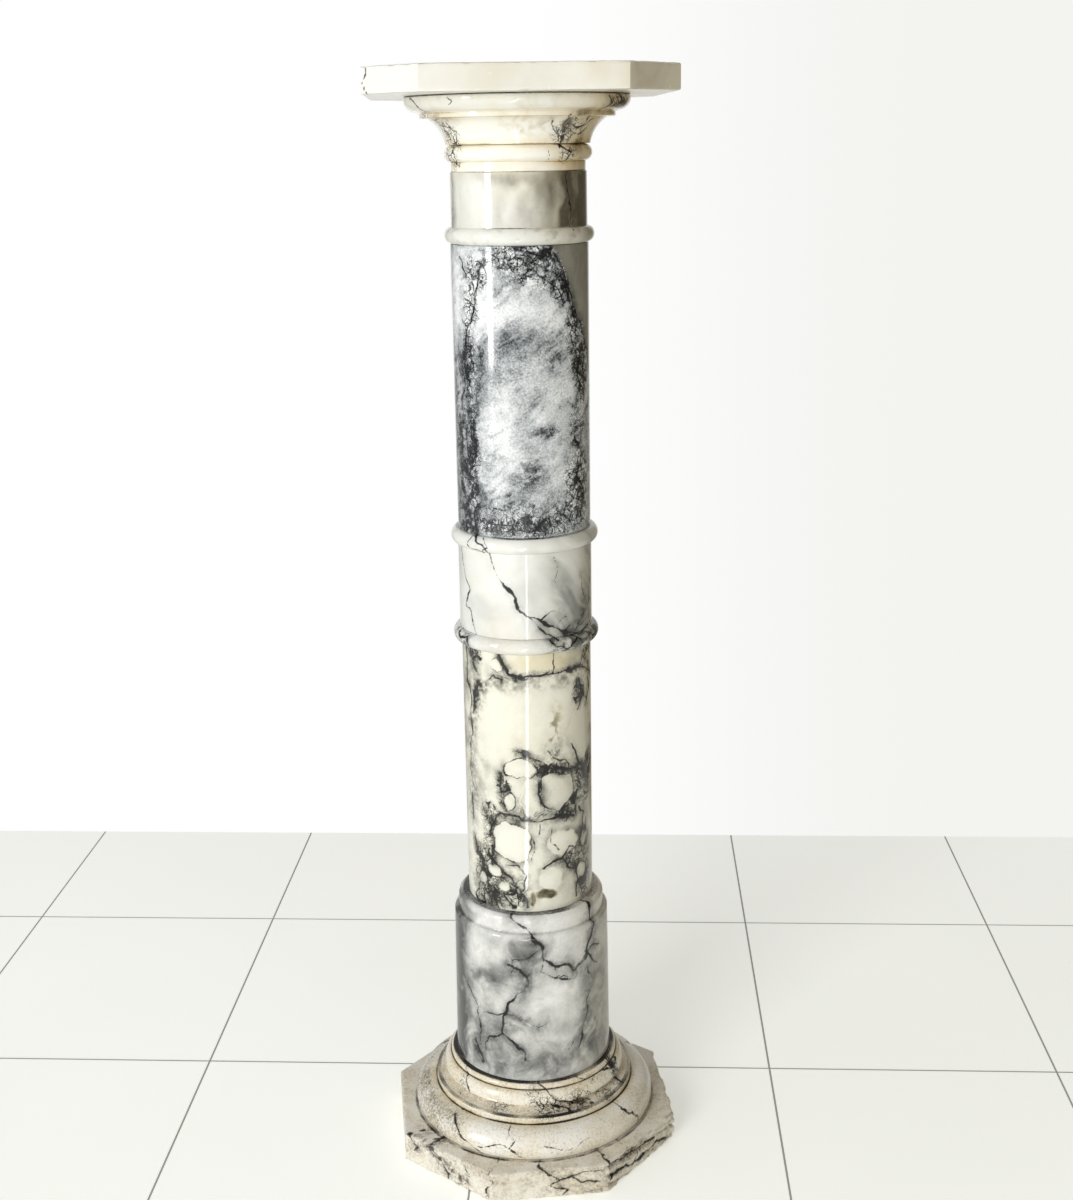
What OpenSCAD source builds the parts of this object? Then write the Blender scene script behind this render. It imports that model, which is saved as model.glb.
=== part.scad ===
// Pedestal column of polished stone, built from nine turned and sawn pieces that
// stand face to face on one vertical axis. Millimetres, +Z up, and the origin is
// the middle of the plinth's underside. The plinth's front side faces -Y.

/* [Plinth] */
// Width across the flats of the octagonal plinth
plinth_w = 276; // [220:1:340]
// Height of the plinth
plinth_h = 31; // [20:1:60]
// Bevel along the plinth's upper and lower edges
plinth_bevel = 2; // [0.5:0.5:4]

/* [Base moulding] */
// Widest diameter of the big torus
torus_d = 245; // [200:1:300]
// Height of the big torus
torus_h = 26.5; // [18:0.5:40]
// How far the torus curves back in under its widest line
torus_tuck = 3; // [1:0.5:6]
// Diameter of the fillet that stands on the torus
lower_fillet_d = 201; // [170:1:230]
// Height of the fillet that stands on the torus
lower_fillet_h = 7.5; // [4:0.5:12]
// Height of the hollow between the lower fillet and the arris
hollow_h = 8; // [5:0.5:12]
// How far the hollow is cut in behind the arris
hollow_depth = 6; // [3:0.5:12]
// Diameter of the sharp arris over the hollow
arris_d = 184; // [170:1:210]
// Height of the rounded band over the arris
band_h = 13; // [8:0.5:24]
// Diameter of the bead under the base drum
bead_d = 170; // [160:1:190]
// Height of the bead under the base drum
bead_h = 6; // [3:0.5:12]
// How far the bead's upper edge is rounded off
bead_round = 4; // [1:0.5:5]

/* [Base drum] */
// Diameter at the foot of the base drum
base_drum_d = 157.5; // [146:0.5:180]
// Diameter at the head of the base drum, under its collar
base_drum_head_d = 154; // [146:0.5:176]
// Height of the base drum, collar included
base_drum_h = 176; // [120:1:240]
// Diameter of the collar on the base drum
drum_collar_d = 145; // [134:0.5:160]
// Height of the collar on the base drum
drum_collar_h = 18; // [10:0.5:30]
// Radius of the rounded upper edge of the collar
collar_round = 6; // [2:0.5:9]
// Radius of the rounded edge of the drum under its collar
drum_round = 4; // [1:0.5:6]

/* [Shaft] */
// Diameter of the lower shaft
lower_shaft_d = 124; // [100:0.5:134]
// Height of the lower shaft
lower_shaft_h = 263; // [180:1:340]
// Diameter of the middle drum between its rings
middle_drum_d = 126; // [100:0.5:134]
// Height of the middle drum, both rings included
middle_drum_h = 110.5; // [60:0.5:160]
// Diameter of the upper shaft
upper_shaft_d = 125; // [100:0.5:134]
// Height of the upper shaft
upper_shaft_h = 260.5; // [180:1:340]
// Diameter of the neck drum
neck_d = 122.5; // [100:0.5:134]
// Height of the neck drum, its ring included
neck_h = 62; // [40:1:100]

/* [Rings] */
// Height of each rounded ring
ring_h = 14.5; // [8:0.5:24]
// How far each ring stands out from its drum
ring_out = 6.5; // [3:0.5:12]

/* [Capital] */
// Diameter of the plain collar under the astragal
collar_d = 120.5; // [90:0.5:124]
// Height of the plain collar
collar_h = 8; // [4:0.5:16]
// Widest diameter of the astragal
astragal_d = 132.5; // [124:0.5:150]
// Height of the astragal
astragal_h = 15; // [8:0.5:24]
// Diameter at the foot of the hollow flare over the astragal
flare_foot_d = 129; // [120:0.5:140]
// Diameter at the head of the hollow flare
flare_head_d = 160; // [145:0.5:180]
// Height of the hollow flare
flare_h = 22.5; // [12:0.5:36]
// How far the flare is hollowed behind a straight line
flare_hollow = 3; // [1:0.5:5]
// Diameter of the fillet over the flare
cap_fillet_d = 174; // [160:0.5:190]
// Height of the fillet over the flare
cap_fillet_h = 4; // [2:0.5:10]
// Widest diameter of the swelling echinus under the slab
echinus_d = 201; // [180:1:240]
// Height of the echinus
echinus_h = 14.5; // [10:0.5:24]
// Radius of the echinus's upper edge
echinus_round = 3; // [1:0.5:5]

/* [Top slab] */
// Width of the slab across its long sides
slab_w = 266; // [210:1:320]
// How much each corner is cut back along both sides
slab_cut = 48; // [20:1:70]
// Height of the slab
slab_h = 22; // [14:1:40]
// Bevel along the slab's upper and lower edges
slab_bevel = 1.5; // [0.5:0.5:4]
// Turn of the slab against the plinth, in degrees
slab_turn = -3.4; // [-10:0.1:10]

/* [Hidden] */
$fn = 96;
arc_steps = 12;

// Each piece stands on the one below it
base_moulding_h = torus_h + lower_fillet_h + hollow_h + band_h + bead_h;
capital_h = collar_h + astragal_h + flare_h + cap_fillet_h + echinus_h;
base_moulding_z = plinth_h;
base_drum_z = base_moulding_z + base_moulding_h;
lower_shaft_z = base_drum_z + base_drum_h;
middle_drum_z = lower_shaft_z + lower_shaft_h;
upper_shaft_z = middle_drum_z + middle_drum_h;
neck_drum_z = upper_shaft_z + upper_shaft_h;
capital_z = neck_drum_z + neck_h;
top_slab_z = capital_z + capital_h;

// Points of an elliptical arc about centre, reach = [half width, half height]
function arc(centre, reach, from, to) =
    [for (i = [0 : arc_steps])
        let (a = from + (to - from) * i / arc_steps)
        [centre.x + reach.x * cos(a), centre.y + reach.y * sin(a)]];

// Points from p to q that bow out to the left of the way there by sag
function bow(p, q, sag) =
    let (way = q - p, left = [-way.y, way.x] / norm(way))
    [for (i = [0 : arc_steps])
        let (t = i / arc_steps)
        p + t * way + 4 * sag * t * (1 - t) * left];

// A round solid from its outline [radius, height], which starts and ends on the axis
module turned(outline) {
    rotate_extrude() polygon(outline);
}

// Rounded ring of height ring_h round a drum of diameter d, its foot at height z
function ring(d, z) = arc([d / 2, z + ring_h / 2], [ring_out, ring_h / 2], -90, 90);

// Cutters for the bevels of width b at both ends of a prism of height h, along the
// side that faces the direction turn and lies at distance reach from the axis
module edge_bevels(turn, reach, h, b, run) {
    rotate([0, 0, turn])
        for (z = [0, h])
            translate([reach, 0, z]) rotate([0, 45, 0])
                cube([b * sqrt(2), run, b * sqrt(2)], center = true);
}

// Prism on a square of width w whose corners are cut back by c, edges bevelled by b
module canted_prism(w, c, h, b) {
    s = w / 2;
    corner_reach = (w - c) / sqrt(2);
    difference() {
        linear_extrude(h)
            polygon([[s, c - s], [s, s - c], [s - c, s], [c - s, s],
                     [-s, s - c], [-s, c - s], [c - s, -s], [s - c, -s]]);
        for (side = [0 : 3]) {
            edge_bevels(90 * side, s, h, b, 2 * w);
            edge_bevels(90 * side + 45, corner_reach, h, b, 2 * w);
        }
    }
}

module plinth() {
    // all eight sides are alike where the corners are cut back by this much
    corner = plinth_w * (1 - tan(22.5)) / 2;
    color([0.80, 0.77, 0.70])
        canted_prism(plinth_w, corner, plinth_h, plinth_bevel);
}

// Torus, fillet, hollow with its arris, rounded band and bead, from the bottom up
module base_moulding() {
    torus_r = torus_d / 2;
    torus_belly = torus_h / 3;
    torus_rise = torus_h - torus_belly;
    torus_in = min(torus_rise, torus_r - lower_fillet_d / 2);
    hollow_z = torus_h + lower_fillet_h;
    arris_z = hollow_z + hollow_h;
    arris_r = arris_d / 2;
    hollow_r = arris_r - hollow_depth;
    throat_z = hollow_z + 0.75 * hollow_h;
    bead_z = arris_z + band_h;
    bead_r = bead_d / 2;
    top_z = bead_z + bead_h;
    color([0.86, 0.82, 0.72])
        translate([0, 0, base_moulding_z])
            turned(concat(
                [[0, 0]],
                arc([torus_r - torus_tuck, torus_belly], [torus_tuck, torus_belly], -90, 0),
                arc([torus_r - torus_in, torus_belly], [torus_in, torus_rise], 8, 90),
                [[lower_fillet_d / 2, torus_h], [lower_fillet_d / 2, hollow_z]],
                arc([lower_fillet_d / 2 - 1, throat_z],
                    [lower_fillet_d / 2 - 1 - hollow_r, throat_z - hollow_z], 270, 180),
                arc([arris_r, throat_z], [hollow_depth, arris_z - throat_z], 172, 90),
                arc([bead_r, arris_z], [arris_r - bead_r, band_h], 4, 90),
                arc([bead_r - bead_round, top_z - bead_round],
                    [bead_round, bead_round], 0, 90),
                [[0, top_z]]));
}

// Plain drum that widens a little to its foot, with a narrower collar on top
module base_drum() {
    collar_z = base_drum_h - drum_collar_h;
    color([0.80, 0.81, 0.82])
        translate([0, 0, base_drum_z])
            turned(concat(
                [[0, 0], [base_drum_d / 2, 0]],
                arc([base_drum_head_d / 2 - drum_round, collar_z - drum_round],
                    [drum_round, drum_round], 0, 90),
                [[drum_collar_d / 2, collar_z]],
                arc([drum_collar_d / 2 - collar_round, base_drum_h - collar_round],
                    [collar_round, collar_round], 0, 90),
                [[0, base_drum_h]]));
}

module lower_shaft() {
    color([0.84, 0.83, 0.79])
        translate([0, 0, lower_shaft_z]) cylinder(d = lower_shaft_d, h = lower_shaft_h);
}

// Drum with a ring at its foot and a ring at its head, turned in one piece
module middle_drum() {
    color([0.85, 0.85, 0.83])
        translate([0, 0, middle_drum_z])
            turned(concat([[0, 0]], ring(middle_drum_d, 0),
                          ring(middle_drum_d, middle_drum_h - ring_h), [[0, middle_drum_h]]));
}

module upper_shaft() {
    color([0.62, 0.61, 0.59])
        translate([0, 0, upper_shaft_z]) cylinder(d = upper_shaft_d, h = upper_shaft_h);
}

// Short drum with a ring at its foot
module neck_drum() {
    color([0.82, 0.81, 0.78])
        translate([0, 0, neck_drum_z])
            turned(concat([[0, 0]], ring(neck_d, 0), [[neck_d / 2, neck_h], [0, neck_h]]));
}

// Collar, astragal, hollow flare, fillet and echinus, from the bottom up
module capital() {
    astragal_z = collar_h;
    flare_z = astragal_z + astragal_h;
    fillet_z = flare_z + flare_h;
    echinus_z = fillet_z + cap_fillet_h;
    color([0.90, 0.86, 0.77])
        translate([0, 0, capital_z])
            turned(concat(
                [[0, 0], [collar_d / 2, 0]],
                arc([astragal_d / 2 - astragal_h / 2, astragal_z + astragal_h / 2],
                    [astragal_h / 2, astragal_h / 2], -90, 90),
                bow([flare_foot_d / 2, flare_z], [flare_head_d / 2, fillet_z], flare_hollow),
                [[cap_fillet_d / 2, fillet_z], [cap_fillet_d / 2, echinus_z]],
                arc([echinus_d / 2 - echinus_h, capital_h - echinus_round],
                    [echinus_h, echinus_h - echinus_round], -72, 0),
                arc([echinus_d / 2 - echinus_round, capital_h - echinus_round],
                    [echinus_round, echinus_round], 0, 90),
                [[0, capital_h]]));
}

module top_slab() {
    color([0.93, 0.91, 0.87])
        translate([0, 0, top_slab_z]) rotate([0, 0, slab_turn])
            canted_prism(slab_w, slab_cut, slab_h, slab_bevel);
}

plinth();
base_moulding();
base_drum();
lower_shaft();
middle_drum();
upper_shaft();
neck_drum();
capital();
top_slab();
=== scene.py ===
"""Looks of a pedestal column of polished marble and breccia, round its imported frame.

Each turned or sawn stone is one closed skin: an outline in millimetres carried round
the column's axis. Its clouds, veins and chips are worked out at every point of the skin
and handed to the finish as attributes. Turns are in degrees, 0 at the plinth's front
side and positive to its right, and heights are in millimetres over the floor.
"""
import math

import bpy
import numpy as np
from mathutils import Matrix, Vector


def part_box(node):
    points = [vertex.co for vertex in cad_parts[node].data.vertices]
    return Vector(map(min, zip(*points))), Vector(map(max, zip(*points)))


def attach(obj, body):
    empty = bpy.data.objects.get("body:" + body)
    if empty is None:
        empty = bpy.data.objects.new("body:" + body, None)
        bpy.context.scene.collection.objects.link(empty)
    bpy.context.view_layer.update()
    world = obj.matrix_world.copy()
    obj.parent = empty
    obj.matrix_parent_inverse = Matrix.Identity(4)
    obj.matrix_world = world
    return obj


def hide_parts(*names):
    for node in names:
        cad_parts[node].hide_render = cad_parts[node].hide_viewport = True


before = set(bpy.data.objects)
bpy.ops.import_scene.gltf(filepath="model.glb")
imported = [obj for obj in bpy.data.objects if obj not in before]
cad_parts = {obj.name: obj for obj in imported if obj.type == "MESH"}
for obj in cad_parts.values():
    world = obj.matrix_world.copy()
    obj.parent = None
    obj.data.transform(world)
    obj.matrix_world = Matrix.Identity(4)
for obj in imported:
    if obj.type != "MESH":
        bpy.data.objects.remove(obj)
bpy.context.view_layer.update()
bpy.context.scene.view_settings.view_transform = "Standard"

MM = 0.001


# ---------------------------------------------------------------- camera

COLUMN_TO_CAMERA = 1.477  # level distance from the column's axis
CAMERA_HEIGHT = 0.984
CAMERA_TURN = -6.1  # the camera stands this far to the left of the plinth's front
CAMERA_AIM = 0.4  # and aims this far to the right of the axis
CAMERA_PITCH = -15.8
CAMERA_ROLL = -0.9
LENS_MM = 48
LENS_FRAME_MM = 36


def place(turn, distance, height):
    """Point at a turn, a level distance from the axis and a height, in metres."""
    angle = math.radians(turn)
    return Vector((distance * math.sin(angle), -distance * math.cos(angle), height))


def add_camera():
    """Camera a little lower than the slab, tipped down."""
    data = bpy.data.cameras.new("camera")
    data.lens = LENS_MM
    data.sensor_width = LENS_FRAME_MM
    camera = bpy.data.objects.new("camera", data)
    bearing = math.radians(CAMERA_AIM - CAMERA_TURN)
    pitch = math.radians(CAMERA_PITCH)
    ahead = Vector((math.sin(bearing), math.cos(bearing), 0)) * math.cos(pitch)
    ahead.z = math.sin(pitch)
    right = ahead.cross(Vector((0, 0, 1))).normalized()
    right.rotate(Matrix.Rotation(math.radians(-CAMERA_ROLL), 3, ahead))
    above = right.cross(ahead)
    axes = Matrix((right, above, -ahead)).transposed()
    camera.matrix_world = Matrix.LocRotScale(
        place(CAMERA_TURN, COLUMN_TO_CAMERA, CAMERA_HEIGHT), axes.to_quaternion(), None)
    bpy.context.scene.collection.objects.link(camera)
    bpy.context.scene.camera = camera


add_camera()


# ---------------------------------------------------------------- noise

def hashed(cell, seed):
    """A fixed random number from 0 to 1 for each whole-number cell, by folding its bits."""
    n = cell[..., 0] * 374761393 + cell[..., 1] * 668265263 + cell[..., 2] * 144066289
    n = (n + seed * 97463477) & 0x7FFFFFFF
    n = ((n ^ (n >> 13)) * 1274126177) & 0x7FFFFFFF
    n = ((n ^ (n >> 11)) * 668265263) & 0x7FFFFFFF
    return ((n ^ (n >> 15)) & 0xFFFFFF) / 0xFFFFFF


def noise(points, size, seed):
    """Smooth noise from 0 to 1: random values at the corners of cubes, blended across."""
    scaled = points / size
    cell = np.floor(scaled).astype(np.int64)
    share = scaled - cell
    share = share * share * (3 - 2 * share)
    total = 0
    for corner in np.ndindex(2, 2, 2):
        weight = np.prod(np.where(corner, share, 1 - share), axis=-1)
        total = total + weight * hashed(cell + np.array(corner), seed)
    return total


def clouds(points, size, seed, layers=4):
    """Layers of noise, each half as large and half as strong as the one before, 0 to 1."""
    total = sum(noise(points, size / 2**k, seed + 7 * k) / 2**k for k in range(layers))
    return total / (2 - 2 ** (1 - layers))


def stir(points, size, amount, seed):
    """The points pushed about by up to amount, by noise of that size."""
    push = np.stack([noise(points, size, seed + k) for k in range(3)], axis=-1) - 0.5
    return points + amount * push


def twist(points, rate):
    """The points turned about the axis by rate degrees for each millimetre of height, so
    that noise stretched along the axis comes out as streaks that climb to the right."""
    angle = np.radians(-rate * points[..., 2])
    x, y = points[..., 0], points[..., 1]
    return np.stack([x * np.cos(angle) - y * np.sin(angle),
                     x * np.sin(angle) + y * np.cos(angle), points[..., 2]], axis=-1)


def cells(points, size, seed):
    """Pebbles grown from one random point in each cube: how far the point is from the
    border with the next pebble, 0 on it, and the pebble's own random number."""
    scaled = points / size
    home = np.floor(scaled).astype(np.int64)
    nearest = np.full(scaled.shape[:-1], 9.0)
    second = nearest.copy()
    own = np.zeros_like(nearest)
    for step in np.ndindex(3, 3, 3):
        cell = home + np.array(step) - 1
        seat = cell + np.stack([hashed(cell, seed + k) for k in range(3)], axis=-1)
        gap = np.linalg.norm(scaled - seat, axis=-1)
        closer = gap < nearest
        second = np.where(closer, nearest, np.minimum(second, gap))
        own = np.where(closer, hashed(cell, seed + 5), own)
        nearest = np.minimum(nearest, gap)
    return second - nearest, own


def ease(value, low, high):
    """0 below low and 1 above high, with a smooth step between them."""
    share = np.clip((value - low) / (high - low), 0, 1)
    return share * share * (3 - 2 * share)


def between(value, start, full, fade, gone):
    """0 before start and past gone, 1 from full to fade, with smooth steps between."""
    return ease(value, start, full) * (1 - ease(value, fade, gone))


def bell(gap, width):
    """1 where gap is 0, falling off smoothly over width to both sides."""
    return np.exp(-((gap / width) ** 2))


# ---------------------------------------------------------------- skins

def arc(centre, reach, start, end, steps=12):
    """Points of an elliptical arc: centre plus reach times cosine and sine, in degrees."""
    angle = np.radians(np.linspace(start, end, steps + 1))
    return np.stack([centre[0] + reach[0] * np.cos(angle),
                     centre[1] + reach[1] * np.sin(angle)], axis=1)


def bow(start, end, sag, steps=12):
    """A line from start to end that bows out to its left by sag, as a parabola."""
    start, end = np.array(start, float), np.array(end, float)
    share = np.linspace(0, 1, steps + 1)[:, None]
    way = end - start
    left = np.array([-way[1], way[0]]) / np.linalg.norm(way)
    return start + share * way + 4 * sag * share * (1 - share) * left


def finely(outline, spacing):
    """The outline with points added along each stretch until none is over spacing apart."""
    outline = np.vstack(outline)
    points = [outline[:1]]
    for a, b in zip(outline[:-1], outline[1:]):
        length = np.linalg.norm(b - a)
        if length > 1e-6:
            count = max(1, math.ceil(length / spacing))
            points.append(a + (b - a) * np.linspace(0, 1, count + 1)[1:, None])
    return np.vstack(points)


def round_ring(columns):
    """Unit circle as x, y for each column, from the back round by the left."""
    angle = np.linspace(-np.pi, np.pi, columns, endpoint=False)
    return np.stack([np.sin(angle), -np.cos(angle)], axis=1)


def canted_ring(width, cut, turn, spacing):
    """Square with its corners cut back, points at most spacing apart, as x, y over half
    the width, turned about the axis and running to the right along its front side."""
    s, c = width / 2, width / 2 - cut
    corners = np.array([[-c, -s], [c, -s], [s, -c], [s, c], [c, s], [-c, s], [-s, c], [-s, -c]])
    points = []
    for a, b in zip(corners, np.roll(corners, -1, axis=0)):
        count = math.ceil(np.linalg.norm(b - a) / spacing)
        points.append(a + (b - a) * np.linspace(0, 1, count, endpoint=False)[:, None])
    angle = math.radians(turn)
    spin = np.array([[math.cos(angle), math.sin(angle)], [-math.sin(angle), math.cos(angle)]])
    return np.vstack(points) @ spin / s


WANDER = 0.448  # how far a vein strays, as a share of each size of noise


class Skin:
    """A closed skin: outline[row] = (distance from the axis, height), carried round ring.

    points[row, column] are in millimetres, turn in degrees to the right of the front. Veins
    and patches are drawn at a turn and a height, and side and up make them wander.
    """

    def __init__(self, outline, ring, radius, seed):
        rows = len(outline)
        self.points = np.empty((rows, len(ring), 3))
        self.points[..., :2] = outline[:, None, :1] * ring[None]
        self.points[..., 2] = outline[:, None, 1]
        self.radius = radius
        self.turn = np.degrees(np.arctan2(self.points[..., 0], -self.points[..., 1]))
        self.height = self.points[..., 2].copy()
        self.side, wander = [sum((noise(self.points, size, seed + k) - 0.5) * size * WANDER
                                 for size in (14, 6, 2.6)) for k in (11, 23)]
        self.up = self.height + wander

    def away(self, turn, height):
        """Sideways and upward distance in millimetres from a place on the sheet."""
        sideways = (self.turn - turn + 180) % 360 - 180
        return np.radians(sideways) * self.radius + self.side, self.up - height

    def from_line(self, *stops):
        """Distance in millimetres from a line through the stops (turn, height)."""
        nearest = np.full(self.height.shape, 1e3)
        for (turn, height), (next_turn, next_height) in zip(stops[:-1], stops[1:]):
            x, y = self.away(turn, height)
            dx = math.radians(next_turn - turn) * self.radius
            dy = next_height - height
            share = np.clip((x * dx + y * dy) / (dx * dx + dy * dy + 1e-9), 0, 1)
            nearest = np.minimum(nearest, np.hypot(x - share * dx, y - share * dy))
        return nearest

    def from_oval(self, turn, height, half_width, half_height):
        """Distance in millimetres from an oval's edge, below 0 inside it."""
        x, y = self.away(turn, height)
        reach = np.hypot(x / half_width, y / half_height)
        return (reach - 1) * min(half_width, half_height)

    def veins(self, drawn, seed):
        """Black of the veins and the grey breath round them, as two shares, for veins
        given as (stops, width in millimetres, strength of the breath)."""
        ragged = noise(self.points, 2.3, seed)
        swell = noise(self.points, 11, seed + 1)
        dark = np.zeros_like(self.height)
        breath = np.zeros_like(self.height)
        for stops, width, *halo in drawn:
            gap = self.from_line(*stops)
            black = thin(gap + 0.8 * (ragged - 0.5), width * (0.4 + 1.0 * swell))
            dark = np.maximum(dark, black * (0.70 + 0.45 * swell))
            smoke = bell(gap, 5.5) * ease(0.5 * ragged + 0.6 * swell, 0.15, 0.85)
            breath = np.maximum(breath, (halo[0] if halo else 0.2) * smoke)
        return dark, breath

    def patch(self, turn, height, half_width, half_height, soft=0.6):
        """1 in the middle of an oval patch, falling off to 0 past its edge."""
        x, y = self.away(turn, height)
        reach = np.hypot(x / half_width, y / half_height)
        return 1 - ease(reach, 1 - soft, 1 + soft)

    def patches(self, spots, soft=0.9):
        """Sum of patches given as (turn, height, half width, half height, strength)."""
        return sum(strength * self.patch(*oval, soft) for *oval, strength in spots)

    def strongest(self, spots, soft):
        """The strongest at each point of patches given the same way."""
        return np.max([strength * self.patch(*oval, soft) for *oval, strength in spots], axis=0)

    def crease(self, *spots, width=1.0):
        """1 at the creases, given as (distance from the axis, height), fading over width."""
        reach = np.linalg.norm(self.points[:, :1, :2], axis=-1)
        level = self.points[:, :1, 2]
        gap = np.min([np.hypot(reach - r, level - z) for r, z in spots], axis=0)
        return bell(gap, width) + 0 * self.height

    def outward(self):
        """Unit normal at each point, from the grid's two directions."""
        round_way = np.roll(self.points, -1, axis=1) - np.roll(self.points, 1, axis=1)
        up_way = np.gradient(self.points, axis=0)
        normal = np.cross(round_way, up_way)
        return normal / np.maximum(np.linalg.norm(normal, axis=-1, keepdims=True), 1e-9)


def thin(distance, width):
    """A vein's strength: 1 on its middle line, fading to 0 at width from it."""
    return 1 - ease(distance, 0.35 * width, 1.25 * width)


def threads(points, size, seed, width=0.02):
    """Hair-fine veins: the lines where wandering noise passes its middle value, kept only
    where a second noise allows."""
    field = clouds(stir(points, size * 0.5, size * 0.35, seed), size, seed + 4, 4)
    kept = ease(noise(points, size * 1.1, seed + 9), 0.45, 0.75)
    return thin(abs(field - 0.5), width) * kept


def add_piece(name, node, slot, skin, finish, **attributes):
    """Closed mesh over the skin, whose first and last rows are closed by a fan each."""
    rows, columns = skin.points.shape[:2]
    index = np.arange(rows * columns).reshape(rows, columns)
    after = np.roll(index, -1, axis=1)
    quads = np.stack([index[:-1], after[:-1], after[1:], index[1:]], axis=-1).reshape(-1, 4)
    foot, head = rows * columns, rows * columns + 1
    fans = np.vstack([
        np.stack([np.full(columns, foot), after[0], index[0]], axis=1),
        np.stack([np.full(columns, head), index[-1], after[-1]], axis=1)])
    poles = np.array([[0, 0, skin.points[0, 0, 2]], [0, 0, skin.points[-1, 0, 2]]])
    vertices = np.vstack([skin.points.reshape(-1, 3), poles]) * MM
    mesh = bpy.data.meshes.new(name)
    mesh.from_pydata(vertices, [], quads.tolist() + fans.tolist())
    mesh.polygons.foreach_set("use_smooth", np.ones(len(mesh.polygons), bool))
    mesh.set_sharp_from_angle(angle=math.radians(38))
    for key, values in {"net": 0.0, **attributes}.items():
        values = np.broadcast_to(values, skin.height.shape)
        flat = np.concatenate([values.ravel(), [values[0].mean(), values[-1].mean()]])
        mesh.attributes.new(key, "FLOAT", "POINT").data.foreach_set(
            "value", np.clip(flat, 0, 1).astype(np.float32))
    mesh.materials.append(finish)
    piece = bpy.data.objects.new(name, mesh)
    bpy.context.scene.collection.objects.link(piece)
    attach(piece, "root")
    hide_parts(node)


# ---------------------------------------------------------------- finishes

def colour(code):
    """Linear colour with full alpha from an sRGB hex code."""
    parts = [int(code[k:k + 2], 16) / 255 for k in (1, 3, 5)]
    return [c / 12.92 if c <= 0.04045 else ((c + 0.055) / 1.055) ** 2.4 for c in parts] + [1]


def add_node(tree, kind, inputs=None, output=0, stops=(), **settings):
    """Adds a node, makes its settings and colour stops, links or fills its inputs, and
    gives one of its outputs, by name or number."""
    node = tree.nodes.new("ShaderNode" + kind)
    for key, value in settings.items():
        setattr(node, key, value)
    for key, value in (inputs or {}).items():
        if isinstance(value, bpy.types.NodeSocket):
            tree.links.new(value, node.inputs[key])
        else:
            node.inputs[key].default_value = value
    for k, (place_on_ramp, code) in enumerate(stops):
        elements = node.color_ramp.elements
        element = elements[k] if k < 2 else elements.new(1)
        element.position = place_on_ramp
        element.color = colour(code)
    return node.outputs[output]


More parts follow.
